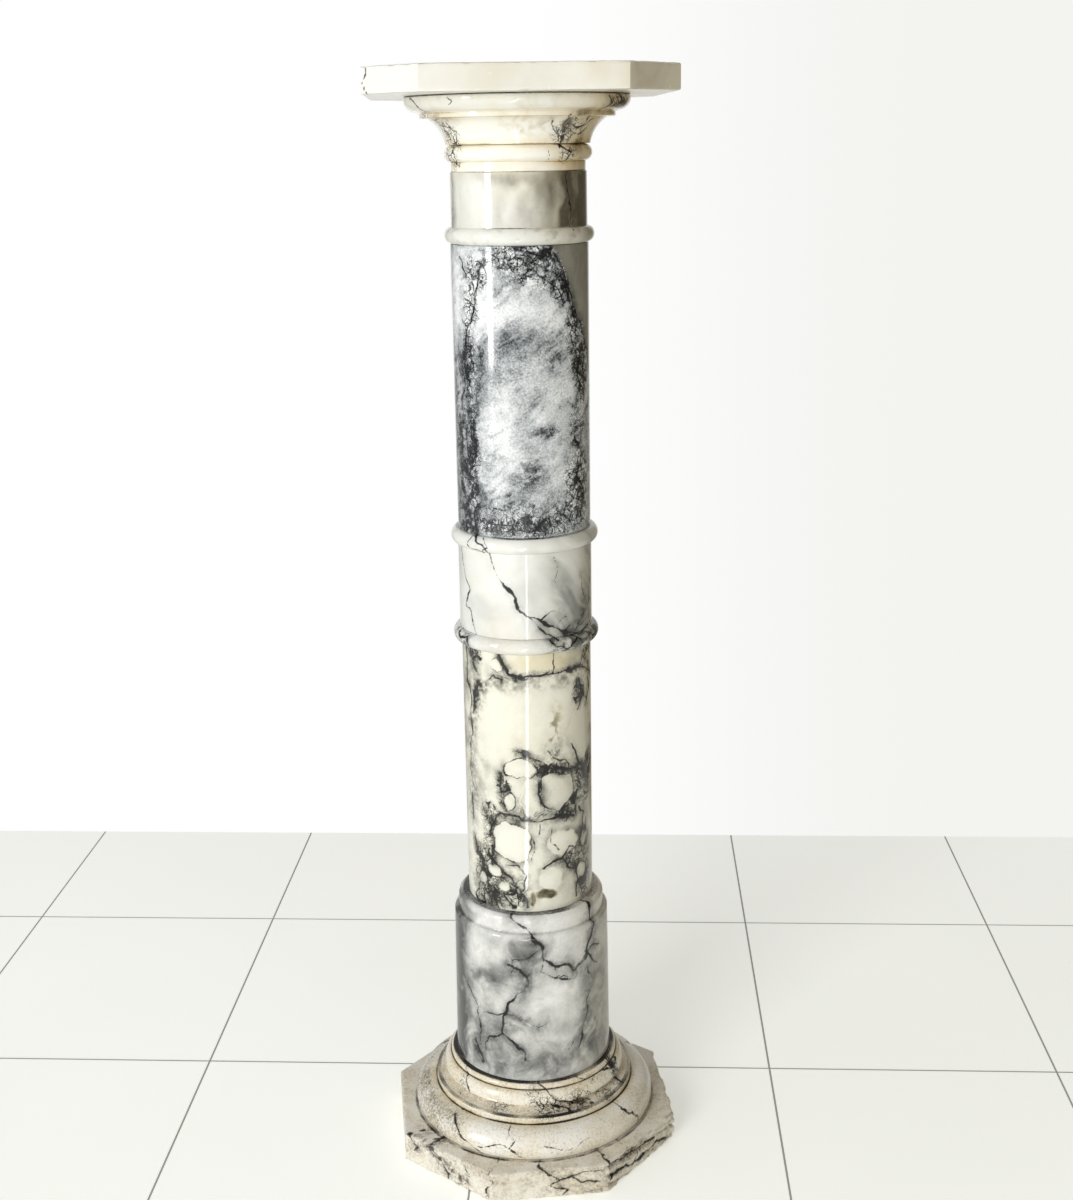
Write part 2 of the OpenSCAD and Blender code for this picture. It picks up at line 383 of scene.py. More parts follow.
def stone(name, tones, warm, vein, speckle_mm, speckle, haze=0.12, polish=0.10, net_mm=7,
          net_reach=0.16):
    """Polished stone. tone, from 0 to 1, picks a colour among tones, after specks of
    speckle_mm and soft haze have moved it; on some pieces tone also carries painted shade
    and painted light. warm stains it, and on some pieces also lays on the warm tint of
    painted shade. vein draws the veins, and net draws a fine net of black threads round
    pebbles of net_mm, thicker as net rises."""
    finish = bpy.data.materials.new(name)
    finish.use_nodes = True
    tree = finish.node_tree
    surface = tree.nodes["Principled BSDF"]
    spot = add_node(tree, "TexCoord", output="Object")
    share = {key: add_node(tree, "Attribute", output="Fac", attribute_name=key)
             for key in ("tone", "warm", "vein", "grain", "net")}
    # noise at each size that shows, as (millimetres, detail, roughness)
    cloud = {}
    for key, (size_mm, detail, roughness) in {
            "push": (5, 2, 0.6), "coarse net": (net_mm * 1.5, 2, 0.6),
            "fine net": (net_mm * 0.63, 2, 0.6), "specks": (speckle_mm, 3, 0.75),
            "haze": (38, 3, 0.55), "ragged": (1.7, 3, 0.65), "polish": (9, 2, 0.5),
            "waves": (26, 1, 0.4)}.items():
        cloud[key] = add_node(tree, "TexNoise", {
            "Vector": spot, "Scale": 1 / (size_mm * MM), "Detail": detail,
            "Roughness": roughness}, "Color" if key == "push" else "Fac")

    # the net: borders of warped pebbles, broken up, in two sizes, each pebble its own grey
    push = add_node(tree, "VectorMath", {0: cloud["push"], "Scale": 7 * MM}, operation="SCALE")
    pushed = add_node(tree, "VectorMath", {0: spot, 1: push})
    threads, pebbles = 0.0, -1.0
    for key, size_mm, reach in (("coarse net", net_mm, net_reach),
                                ("fine net", net_mm * 0.42, net_reach * 0.8)):
        where = {"Vector": pushed, "Scale": 1 / (size_mm * MM)}
        border = add_node(tree, "TexVoronoi", where, "Distance", feature="DISTANCE_TO_EDGE")
        own = add_node(tree, "SeparateXYZ", {0: add_node(tree, "TexVoronoi", where, "Color")})
        pebbles = add_node(tree, "Math", {0: own, 1: pebbles})
        width = add_node(tree, "Math", {0: share["net"], 1: reach, 2: -0.02},
                         operation="MULTIPLY_ADD")
        here = add_node(tree, "Math", {0: cloud[key], 1: 2.0}, operation="MULTIPLY")
        width = add_node(tree, "Math", {0: width, 1: here}, operation="MULTIPLY")
        width = add_node(tree, "Math", {0: width, 1: 0.0001}, operation="MAXIMUM")
        thread = add_node(tree, "Math", {0: border, 1: width}, operation="DIVIDE")
        thread = add_node(tree, "Math", {0: 1.0, 1: thread}, operation="SUBTRACT")
        thread = add_node(tree, "Math", {0: thread, 1: 1.4}, operation="MULTIPLY", use_clamp=True)
        threads = add_node(tree, "Math", {0: threads, 1: thread}, operation="MAXIMUM")

    # the stone's own tone: specks, haze and pebbles over what its piece sets
    specks = add_node(tree, "Math", {0: cloud["specks"], 1: 0.5}, operation="SUBTRACT")
    grain = add_node(tree, "Math", {0: share["grain"], 1: speckle}, operation="MULTIPLY")
    soft = add_node(tree, "Math", {0: cloud["haze"], 1: 0.5}, operation="SUBTRACT")
    netted = add_node(tree, "Math", {0: share["net"], 1: 0.45}, operation="MULTIPLY")
    tone = add_node(tree, "Math", {0: specks, 1: grain, 2: share["tone"]}, operation="MULTIPLY_ADD")
    tone = add_node(tree, "Math", {0: soft, 1: haze, 2: tone}, operation="MULTIPLY_ADD")
    tone = add_node(tree, "Math", {0: pebbles, 1: netted, 2: tone}, operation="MULTIPLY_ADD")
    paint = add_node(tree, "ValToRGB", {0: tone}, stops=tones)
    paint = add_node(tree, "Mix", {0: share["warm"], 6: paint, 7: colour(warm)}, 2,
                     data_type="RGBA", blend_type="MULTIPLY")

    # the veins: their edges made ragged by fine noise, then drawn sharp
    ragged = add_node(tree, "Math", {0: cloud["ragged"], 1: 0.7, 2: -0.35}, operation="MULTIPLY_ADD")
    ragged = add_node(tree, "Math", {0: share["vein"], 1: ragged})
    drawn = add_node(tree, "MapRange", {"Value": ragged, "From Min": 0.32, "From Max": 0.95},
                     interpolation_type="SMOOTHSTEP")
    drawn = add_node(tree, "Math", {0: drawn, 1: threads}, operation="MAXIMUM", use_clamp=True)
    paint = add_node(tree, "Mix", {0: drawn, 6: paint, 7: colour(vein)}, 2, data_type="RGBA")

    # polish: a little uneven, duller where a vein breaks the surface, with faint waves
    rough = add_node(tree, "Math", {0: cloud["polish"], 1: 0.10, 2: polish - 0.05},
                     operation="MULTIPLY_ADD")
    rough = add_node(tree, "Math", {0: drawn, 1: 0.12, 2: rough}, operation="MULTIPLY_ADD")
    waves = add_node(tree, "Bump", {"Height": cloud["waves"], "Strength": 0.25,
                                    "Distance": 0.3 * MM})
    for socket, made in (("Base Color", paint), ("Roughness", rough), ("Normal", waves)):
        tree.links.new(made, surface.inputs[socket])
    surface.inputs["IOR"].default_value = 1.5
    return finish


# Ivory marble, turned and polished: pale, honeyed at the edges, with brown-black veins
ivory_marble = stone(
    "polished_ivory_marble",
    [(0.0, "#FBF9F0"), (0.35, "#EFEADB"), (0.7, "#C4BBA6"), (1.0, "#7A7263")],
    warm="#EED9AE", vein="#211C17", speckle_mm=3, speckle=0.3)
# Pale cream marble, sawn and polished: nearly plain, with the faintest clouds
cream_slab = stone(
    "polished_cream_marble",
    [(0.0, "#F3F2EB"), (0.5, "#EAE8DF"), (1.0, "#C9C4B8")],
    warm="#EEE4CC", vein="#2E2A26", speckle_mm=3, speckle=0.2, haze=0.3, polish=0.25)
# Translucent grey-white marble, polished: grey folds hang in it like curtains
curtain_marble = stone(
    "polished_translucent_marble",
    [(0.0, "#F3F3EE"), (0.35, "#D9D8D0"), (0.7, "#A2A097"), (1.0, "#5C5A51")],
    warm="#EBE2CC", vein="#2B261D", speckle_mm=4, speckle=0.3, haze=0.25)
# Dark breccia, polished: crushed grey and black grains packed with pale clouds
dark_breccia = stone(
    "polished_dark_breccia",
    [(0.0, "#F3F4F5"), (0.35, "#C6CACC"), (0.62, "#8D9194"), (0.85, "#4C4F52"), (1.0, "#232527")],
    warm="#D9CFBB", vein="#0E0F10", speckle_mm=1.8, speckle=1.2, haze=0.15, net_mm=7, net_reach=0.14)
# White marble with thin black veins, polished to a mirror
white_marble = stone(
    "polished_white_marble",
    [(0.0, "#F7F7F2"), (0.4, "#D9DAD5"), (0.75, "#9FA09C"), (1.0, "#5C5D5B")],
    warm="#EBE2CB", vein="#101010", speckle_mm=3, speckle=0.3, haze=0.15)
# Cream breccia, polished: pale pebbles in a net of black veins
cream_breccia = stone(
    "polished_cream_breccia",
    [(0.0, "#F8F7EB"), (0.3, "#E6E4D6"), (0.6, "#A9A79B"), (0.85, "#54534C"), (1.0, "#262522")],
    warm="#EBDCB2", vein="#0F0E0C", speckle_mm=1.8, speckle=0.6, haze=0.12, net_mm=7, net_reach=0.10)
# Clouded grey marble, polished: cool grey drifts and jagged black cracks
grey_marble = stone(
    "polished_grey_marble",
    [(0.0, "#F1F1EF"), (0.35, "#C8C9C6"), (0.65, "#8D8E8C"), (1.0, "#3F4141")],
    warm="#E0D7C2", vein="#0E0E0F", speckle_mm=2.6, speckle=0.5, haze=0.2)
# Warm cream marble, turned and polished, with dirt in its creases and painted shade along them
base_marble = stone(
    "polished_warm_marble",
    [(0.0, "#F7F4EB"), (0.4, "#DCD7CA"), (0.75, "#A29C8D"), (1.0, "#5F5A50")],
    warm="#ECDDBB", vein="#14110C", speckle_mm=2.2, speckle=2.2, haze=0.3, polish=0.2)
# The same stone sawn and honed, its edges worn and broken open
worn_marble = stone(
    "honed_worn_marble",
    [(0.0, "#F2EEE3"), (0.4, "#D6D0C3"), (0.75, "#948E82"), (1.0, "#4B4740")],
    warm="#E8DCC2", vein="#16130F", speckle_mm=2.4, speckle=1.9, haze=0.35, polish=0.42, net_mm=9)


# ---------------------------------------------------------------- stones

def levels(node):
    """Lowest and highest level of a frame node, in millimetres."""
    low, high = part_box(node)
    return low.z / MM, high.z / MM


def radius_of(node):
    """Half the width of a round frame node, in millimetres."""
    low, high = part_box(node)
    return (high.x - low.x) / 2 / MM


JOINT = 0.7  # each stone's edge at a joint is eased by this much
RING_HEIGHT = 14.5
RING_OUT = 6.5


def drum_outline(radius, low, high):
    """Plain drum with eased edges, from the axis round to the axis."""
    return [[[radius * 0.6, low], [radius - JOINT, low]], [[radius, low + JOINT]],
            [[radius, high - JOINT]], [[radius - JOINT, high], [radius * 0.6, high]]]


def ring_outline(radius, low):
    """Half-round ring on a drum of that radius."""
    middle = low + RING_HEIGHT / 2
    return arc((radius, middle), (RING_OUT, RING_HEIGHT / 2), -88, 88, 16)


def worn_joint(skin, low, high, width=0.8):
    """Dirt held at the lower and upper joint, stronger here and there."""
    gap = np.minimum(abs(skin.height - low), abs(skin.height - high))
    return bell(gap, width) * (0.35 + 0.55 * noise(skin.points, 22, 3))


def upper_shaft():
    """Dark breccia: pale clouds in the middle, crushed to black round them."""
    low, high = levels("upper_shaft")
    radius = radius_of("upper_shaft")
    skin = Skin(finely(drum_outline(radius, low, high), 1.07), round_ring(372), radius, seed=2)
    p = stir(skin.points, 15, 10, 5)
    fibres = clouds(twist(p, 1.2) * [1, 1, 0.4], 15, 8, 5)
    mist = clouds(p, 40, 9, 3)
    tone = 0.43 + 0.42 * (fibres - 0.5) + 0.60 * (mist - 0.5) + 0.34 * (clouds(p, 6, 12) - 0.5)
    # pale clouds on a slant across the front, by (turn, height, half width, half height)
    tone = tone - (0.35 + 1.2 * mist) * skin.patches((
        (-44, 842, 16, 16, 0.42), (-20, 846, 18, 12, 0.34), (6, 842, 16, 9, 0.34),
        (26, 838, 12, 10, 0.26), (-46, 862, 8, 22, 0.20), (28, 778, 14, 12, 0.22),
        (6, 792, 12, 9, 0.12), (-26, 764, 12, 16, 0.26), (-28, 736, 14, 18, 0.38),
        (-14, 720, 13, 14, 0.24), (-32, 690, 10, 14, 0.26), (26, 706, 13, 14, 0.24),
        (10, 752, 14, 9, 0.18), (-24, 668, 10, 8, 0.20), (-70, 856, 14, 34, 0.55)))
    # deeper drifts between them
    tone = tone + (0.3 + 1.3 * fibres) * skin.patches((
        (-16, 806, 15, 16, 0.16), (18, 812, 18, 9, 0.10), (14, 738, 16, 6, 0.20),
        (-2, 700, 14, 10, 0.12), (-40, 790, 12, 18, 0.10), (-36, 712, 6, 20, 0.08)))
    # how finely the stone is crushed: at the head, down the right side and along the foot
    crushed = np.maximum(0.16, skin.strongest((
        (2, 893, 44, 14, 0.85), (10, 874, 30, 10, 0.60), (28, 868, 12, 16, 0.85),
        (-44, 880, 14, 16, 0.75), (-52, 852, 8, 20, 0.70), (44, 828, 12, 22, 0.95),
        (52, 790, 12, 30, 0.95), (46, 740, 10, 26, 0.55), (48, 690, 17, 28, 0.95),
        (40, 664, 26, 14, 0.85), (-10, 652, 70, 9, 0.90), (-14, 668, 46, 9, 0.45),
        (-56, 806, 9, 40, 0.80), (-53, 710, 8, 74, 0.80), (14, 738, 16, 6, 0.45),
        (-4, 700, 20, 12, 0.30), (-66, 700, 8, 60, 0.40)), 0.6))
    behind = ease(abs(skin.turn), 82, 110)
    crushed = np.maximum(crushed, behind * ease(clouds(p, 60, 77), 0.42, 0.66))
    # a plain grey-beige field to the right of a black band that comes down on a slant
    slope = np.interp(skin.height, [640, 760, 800, 822, 852, 880, 905], [80, 80, 71, 60, 41, 32, 21])
    across = np.radians(skin.turn - slope) * radius + skin.side
    across = across + 7 * (noise(p, 7, 54) - 0.5) + 4 * (noise(p, 3, 55) - 0.5)
    plain = ease(across, 0, 3) * (1 - ease(skin.turn, 118, 135))
    band = bell(across, 6) * (1 - ease(skin.turn, 110, 125))
    crushed = np.maximum(crushed, 1.1 * band) * (1 - plain)
    # dark flecks all over, and pebbles that each keep their own grey
    flecks = ease(clouds(stir(twist(p, 1.2), 6, 5, 51), 6, 52, 4), 0.50, 0.66)
    sparse = ease(clouds(p, 26, 53, 3), 0.40, 0.62)
    tone = tone + 0.28 * flecks * (0.25 + 0.75 * sparse) - 0.05 + 0.05 * crushed
    # painted shade: darker toward the left edge, fading out behind
    tone = tone + 0.14 * ease(-skin.turn, 54, 64) * (1 - behind)
    _, own = cells(p, 7, 40)
    tone = tone + crushed * (0.10 + 0.70 * (own - 0.5))
    tone = tone * (1 - plain) + plain * (0.54 + 0.25 * (clouds(p * [1, 1, 0.2], 10, 4) - 0.5))
    # streaks drawn out along the left side
    streak = clouds(stir(p, 9, 3, 7) * [1, 1, 0.14], 6, 61, 3)
    left = skin.patch(-60, 740, 20, 130, 0.4)
    tone = tone + left * 1.3 * (streak - 0.46)
    # white pebbles along the upper edge
    for turn, height, wide, tall in ((-43, 894, 6, 5), (-62, 897, 7, 5), (-32, 896, 3, 3),
                                     (10, 878, 4.5, 4), (33, 857, 3.5, 3.5), (-19, 863, 5, 5),
                                     (-4, 861, 5, 5), (0, 870, 3.5, 3.5), (-50, 866, 4, 5)):
        edge = skin.from_oval(turn, height, wide, tall) + 3 * (own - 0.5)
        inside = 1 - ease(edge, -2.5, 0.8)
        tone = tone * (1 - 0.55 * inside)
        crushed = crushed * (1 - 0.8 * inside)
    dark, breath = skin.veins((
        (((-63, 892), (-56, 880), (-50, 868), (-47, 852)), 0.9),
        (((-38, 892), (-40, 880), (-46, 866), (-47, 852), (-56, 832), (-62, 812)), 1.1),
        (((-62, 812), (-58, 785), (-55, 766), (-54, 700), (-52, 644)), 1.1, 0.5),
        (((-64, 760), (-60, 720), (-62, 690), (-58, 650)), 0.8, 0.3),
        (((22, 899), (33, 878), (41, 853), (58, 822), (66, 806)), 1.5, 0.6),
        (((17, 901), (26, 882), (36, 856), (50, 826), (56, 806), (58, 780)), 1.2, 0.6),
        (((52, 812), (46, 784), (58, 768), (62, 740)), 1.3, 0.5),
        (((44, 732), (54, 714), (46, 697), (56, 680), (50, 656)), 1.4, 0.5),
        (((12, 873), (24, 866), (30, 850)), 0.8, 0.4)), 3)
    tone = tone + 0.5 * breath
    hair = np.maximum(threads(p, 10, 91, 0.035), threads(p * [1, 1, 0.4], 7, 95, 0.035))
    dark = np.maximum(dark, 0.85 * hair * ease(crushed, 0.3, 0.9))
    dark = np.maximum(dark, 0.55 * threads(p, 13, 97, 0.02) * (1 - plain))
    dark = np.maximum(0.95 * dark, worn_joint(skin, low, high))
    add_piece("upper_shaft_skin", "upper_shaft", "upper_shaft_stone", skin, dark_breccia,
              tone=tone, vein=dark, warm=0.9 * plain, grain=0.15 + 0.85 * (1 - plain),
              net=crushed)


def lower_shaft():
    """Cream breccia, broken into pebbles low down and along its upper edge."""
    low, high = levels("lower_shaft")
    radius = radius_of("lower_shaft")
    skin = Skin(finely(drum_outline(radius, low, high), 1.07), round_ring(368), radius, seed=3)
    p = skin.points
    tone = 0.11 + 0.26 * ease(clouds(p, 40, 18, 5), 0.46, 0.75) + 0.2 * (clouds(p, 7, 19) - 0.5)
    # the lower half is cloudier, and greyer still on the right, where that added grey is painted shade
    tone = tone + (0.06 + 0.12 * ease(skin.turn, -14, 20)) * (1 - ease(skin.height, 400, 460))
    # where the stone is broken small, by (turn, height, half width, half height)
    broken = skin.strongest((
        (-52, 312, 15, 22, 0.9), (-40, 286, 20, 18, 1.0), (-22, 284, 14, 14, 1.0),
        (-56, 280, 14, 14, 0.8), (10, 415, 24, 7, 1.0), (-10, 432, 8, 5, 0.6),
        (54, 398, 16, 26, 0.95), (30, 366, 14, 8, 1.0), (40, 382, 10, 12, 0.7),
        (-30, 402, 7, 12, 0.9), (-32, 385, 5, 10, 0.6), (-46, 366, 10, 14, 0.85),
        (-34, 367, 14, 5, 0.7), (40, 318, 20, 12, 0.75), (52, 292, 10, 26, 0.8),
        (24, 330, 9, 6, 0.4), (45, 484, 9, 13, 1.0), (56, 470, 8, 14, 0.5), (-60, 526, 10, 8, 1.0),
        (-16, 508, 16, 4, 0.7), (30, 511, 34, 4, 0.6), (62, 520, 10, 12, 0.8),
        (-56, 482, 7, 18, 0.45), (-46, 338, 6, 16, 0.8), (18, 432, 8, 7, 0.6),
        (-4, 372, 18, 5, 0.5), (-66, 400, 9, 90, 0.30)), 0.7)
    behind = ease(abs(skin.turn), 74, 96)
    broken = np.maximum(broken, 0.9 * behind * ease(clouds(p, 62, 31), 0.50, 0.62))
    # pebbles with uneven black rims, and each with its own grey
    border, own = cells(stir(p, 12, 7, 1), 15, 12)
    swell = noise(p, 8, 71)
    rims = thin(border, 0.03 + 0.15 * swell) * ease(broken, 0.2, 0.55)
    tone = tone + broken * (0.16 + 0.60 * own * clouds(p, 7, 91))
    dark = rims * ease(swell + 0.4 * noise(p, 3, 6), 0.35, 0.75)
    # large pale pebbles with black rims
    lumpy = 0.34 * (noise(p, 15, 46) - 0.5) + 0.16 * (noise(p, 6, 47) - 0.5)
    for turn, height, wide, tall, share, grey in (
            (-22, 341, 19, 21, 1.0, 0.09), (-14, 417, 15, 9, 1.0, 0.07), (20, 391, 17, 21, 1.0, 0.30),
            (-34, 520, 6, 6, 0.9, 0.04), (-25, 384, 6, 9, 0.8, 0.16), (-6, 388, 12, 19, 0.5, 0.26),
            (26, 338, 18, 12, 0.55, 0.10), (48, 446, 20, 34, 0.30, 0.16), (-40, 306, 7, 6, 0.8, 0.2),
            (12, 300, 12, 12, 0.25, 0.10), (-30, 292, 6, 6, 0.8, 0.2), (-14, 294, 6, 8, 0.7, 0.3),
            (48, 300, 7, 9, 0.8, 0.2), (50, 334, 6, 8, 0.7, 0.25), (-54, 296, 5, 7, 0.8, 0.3)):
        edge = skin.from_oval(turn, height, wide, tall) + lumpy * min(wide, tall)
        inside = 1 - ease(edge, -1.8, 0.2)
        dark = dark * (1 - inside)
        broken = broken * (1 - inside)
        shaded = grey + 0.25 * ease(edge, -8, 0) * noise(p, 9, 41)
        tone = tone * (1 - inside) + shaded * inside
        rim = share * (0.35 + 1.1 * noise(p, 10, 44))
        dark = np.maximum(dark, rim * thin(abs(edge - 0.6), 0.4 + 0.8 * swell))
        tone = tone + 0.55 * share * bell(np.maximum(edge, 0), 5) * (edge > 0) * swell
    hair = np.maximum(threads(p, 12, 93, 0.03), threads(p, 7, 99, 0.035))
    dark = np.maximum(dark, 0.85 * hair * ease(broken, 0.2, 0.8))
    drawn, breath = skin.veins((
        (((-30, 534), (-27, 523), (-24, 513), (-16, 508), (-4, 510), (14, 509), (35, 511),
          (56, 508), (70, 498)), 1.8, 0.9),
        (((-30, 503), (-38, 508), (-48, 500), (-58, 489), (-63, 472)), 1.6, 0.9),
        (((-74, 532), (-72, 500), (-67, 486), (-66, 462), (-70, 410), (-68, 350)), 1.7, 0.6),
        (((-62, 534), (-58, 524), (-64, 514), (-56, 508)), 1.2, 0.6),
        (((18, 533), (18, 510)), 1.1, 0.2), (((72, 530), (62, 509)), 1.4, 0.5),
        (((46, 533), (52, 522), (48, 510)), 1.0, 0.3),
        (((56, 508), (66, 484), (58, 470)), 1.3, 0.5), (((45, 498), (50, 486), (44, 470)), 1.6, 0.8),
        (((-18, 434), (-6, 430), (6, 424), (14, 418), (24, 414), (32, 412), (56, 404), (72, 408)),
         1.4, 0.8),
        (((9, 437), (16, 428), (26, 420), (38, 412)), 1.2, 0.5),
        (((36, 437), (44, 414), (56, 403)), 1.3, 0.3), (((66, 452), (72, 430), (70, 408)), 1.4, 0.4),
        (((-36, 371), (-20, 369), (2, 364), (22, 364), (40, 361)), 1.5, 0.6),
        (((-34, 371), (-41, 356), (-44, 335), (-40, 325)), 1.6, 0.6),
        (((-66, 334), (-56, 316), (-48, 292), (-38, 272)), 1.5, 0.8),
        (((-46, 330), (-38, 314), (-24, 302), (-14, 290), (-8, 272)), 1.5, 0.8),
        (((-30, 316), (-18, 316), (-10, 306), (-12, 290)), 1.4, 0.6),
        (((6, 312), (16, 319), (26, 322), (30, 332), (44, 328), (52, 338), (58, 352)), 1.2, 0.4),
        (((26, 322), (30, 310), (40, 306), (44, 290), (40, 274)), 1.1, 0.4),
        (((20, 330), (12, 340), (14, 352)), 0.8, 0.2), (((44, 374), (52, 360), (50, 346)), 1.2, 0.4),
        (((3, 402), (2, 392), (8, 380), (18, 370)), 1.1, 0.5),
        (((-3, 345), (-4, 322)), 1.0, 0.3), (((4, 362), (2, 350)), 0.9, 0.3),
        (((-30, 412), (-32, 396), (-28, 374)), 1.4, 0.6),
        # the back, in keeping
        (((96, 532), (104, 486), (98, 440), (112, 396), (106, 340), (118, 270)), 1.8, 0.7),
        (((-96, 268), (-108, 330), (-98, 372), (-120, 430), (-112, 532)), 1.8, 0.7),
        (((112, 396), (140, 384), (168, 402), (200, 380), (238, 372)), 1.5, 0.6),
        (((150, 532), (158, 480), (146, 440), (154, 392)), 1.4, 0.5)), 17)
    dark = np.maximum(dark, drawn)
    tone = tone + 0.60 * breath
    # grey breath under the long cross vein and inside the curve to its left
    smoke = ease(0.3 * noise(p, 2.2, 62) + 0.8 * clouds(p, 12, 63), 0.25, 0.85)
    under = skin.from_line((-64, 460), (-57, 486), (-44, 499), (-20, 499), (10, 501), (56, 500))
    tone = tone + 0.50 * bell(under, 7.5) * smoke
    tone = tone + 0.60 * skin.patch(-52, 482, 11, 16, 0.9) * smoke
    tone = tone + 0.16 * skin.patch(-54, 405, 10, 40, 0.9) * smoke
    # olive-brown specks in the upper middle, two brown splinters near the foot
    olive = skin.patch(18, 456, 6, 20, 0.8) * ease(clouds(p, 5, 65, 3), 0.44, 0.62)
    tone = tone + 0.46 * olive
    splinter = np.maximum(skin.patch(9, 286, 10, 4, 0.25), 0.9 * skin.patch(-3, 281, 3, 7, 0.3))
    tone = tone + splinter * (0.30 + 0.35 * noise(p, 3, 66))
    dark = dark * (1 - splinter)
    # painted shade: darker down the right side, and greyer down the left side
    tone = tone + 0.12 * between(skin.turn, 10, 60, 120, 160)
    tone = tone + 0.22 * between(-skin.turn, 42, 68, 110, 140) * smoke
    # warm: stains, splinters and the back's clouds, and on the right side the warm tint of painted shade
    warm = (0.14 * skin.patch(-10, 455, 36, 40, 0.9) + 0.55 * skin.patch(10, 522, 36, 9, 0.5)
            + 0.55 * olive + 0.9 * splinter + 0.25 * behind * clouds(p, 40, 6)
            + 0.20 * between(skin.turn, 5, 60, 110, 150))
    dark = np.maximum(dark, worn_joint(skin, low, high))
    add_piece("lower_shaft_skin", "lower_shaft", "lower_shaft_stone", skin, cream_breccia,
              tone=tone, vein=dark, warm=warm, grain=0.4 + 1.0 * broken, net=0.9 * broken)


def middle_drum():
    """White drum between two rings, with a black vein down across it."""
    low, high = levels("middle_drum")
    radius = radius_of("middle_drum") - RING_OUT
    outline = [[[radius * 0.6, low], [radius - 1, low]], ring_outline(radius, low),
               ring_outline(radius, high - RING_HEIGHT), [[radius - 1, high], [radius * 0.6, high]]]
    skin = Skin(finely(outline, 1.1), round_ring(366), radius, seed=4)
    p = stir(skin.points, 18, 14, 3)
    tone = 0.08 + 0.30 * ease(clouds(p, 44, 5), 0.46, 0.8)
    # painted shade down the left edge, broken up by clouds
    tone = tone + 0.14 * skin.patch(-60, 590, 26, 60, 0.9) * clouds(p, 20, 6)
    # painted shade over the right side, streaked on a slant, with soft grey patches in it
    slanted = clouds(twist(p, -0.9) * [1, 1, 0.4], 16, 14, 5)
    drift = between(skin.turn, -10, 26, 120, 170)
    tone = tone + drift * (0.20 + 0.9 * (slanted - 0.46))
    tone = tone + (0.2 + 1.3 * slanted) * skin.patches((
        (44, 568, 22, 20, 0.30), (62, 600, 12, 30, 0.26), (10, 560, 14, 7, 0.40),
        (24, 590, 12, 12, 0.12), (-4, 585, 10, 14, 0.16), (30, 549, 20, 6, 0.34)))
    behind = ease(abs(skin.turn), 90, 130)
    tone = tone + 0.6 * behind * ease(clouds(twist(p, 1.0) * [1, 1, 0.5], 30, 29), 0.42, 0.7)
    # the lower ring is greyer at both ends and from right of the middle on
    lower_ring = 1 - ease(skin.height, low + RING_HEIGHT - 1, low + RING_HEIGHT + 1)
    ends = np.maximum(ease(skin.turn, 2, 16), 1 - ease(skin.turn, -64, -50))
    mottle = ease(clouds(stir(p, 5, 4, 8), 7, 33), 0.36, 0.66)
    tone = tone + lower_ring * ends * (0.10 + 0.62 * mottle)
    dark, breath = skin.veins((
        (((-49, 641), (-41, 634), (-35, 620), (-30, 609), (-23, 597), (-17, 585), (-10, 575),
          (-5, 568), (6, 564), (16, 557), (27, 549), (41, 545), (60, 546), (78, 552)), 1.7, 0.6),
        (((-3, 566), (4, 558), (12, 550), (20, 544)), 1.3, 0.5),
        (((6, 564), (14, 572), (24, 570), (29, 562), (21, 558)), 0.9, 0.4),
        (((47, 598), (52, 582), (60, 572), (64, 552)), 1.3, 0.6),
        (((40, 545), (50, 560), (62, 572), (70, 592)), 1.1, 0.5),
        (((26, 549), (38, 556), (50, 552), (64, 560)), 1.0, 0.3),
        (((-76, 628), (-71, 612), (-66, 596), (-64, 584), (-68, 572)), 1.6, 0.4),
        (((-67, 572), (-62, 570), (-60, 560), (-57, 546)), 1.3, 0.4),
        (((-52, 641), (-54, 634), (-45, 627), (-37, 632), (-40, 641)), 1.0, 0.3),
        (((34, 545), (44, 536), (56, 541), (70, 536)), 1.1, 0.4),
        (((12, 545), (20, 538), (30, 535), (38, 540)), 1.0, 0.4),
        (((-76, 545), (-70, 538), (-62, 542), (-56, 533)), 1.4, 0.5),
        (((16, 630), (24, 610), (22, 596)), 0.5, 0.2),
        # the back, in keeping
        (((100, 531), (112, 560), (108, 596), (122, 641)), 1.7, 0.5),
        (((112, 560), (142, 572), (170, 562), (196, 584), (220, 596), (236, 622)), 1.5, 0.5),
        (((196, 584), (204, 560), (198, 534)), 1.1, 0.4)), 7)
    tone = tone + 0.45 * breath
    dirt = skin.crease((radius, low + RING_HEIGHT), (radius, high - RING_HEIGHT), width=0.9)
    dark = np.maximum(dark, 0.85 * dirt * (0.3 + 0.8 * noise(p, 24, 11)))
    dark = np.maximum(dark, worn_joint(skin, low, high))
    # warm: the tint of the painted shade on the right, and broad warm clouds
    warm = 0.15 * drift + 0.35 * ease(clouds(p, 60, 13), 0.5, 0.8)
    add_piece("middle_drum_skin", "middle_drum", "middle_drum_stone", skin, white_marble,
              tone=tone, vein=dark, warm=warm, grain=0.3 + 0.7 * lower_ring, net=0.25 * lower_ring * ends)


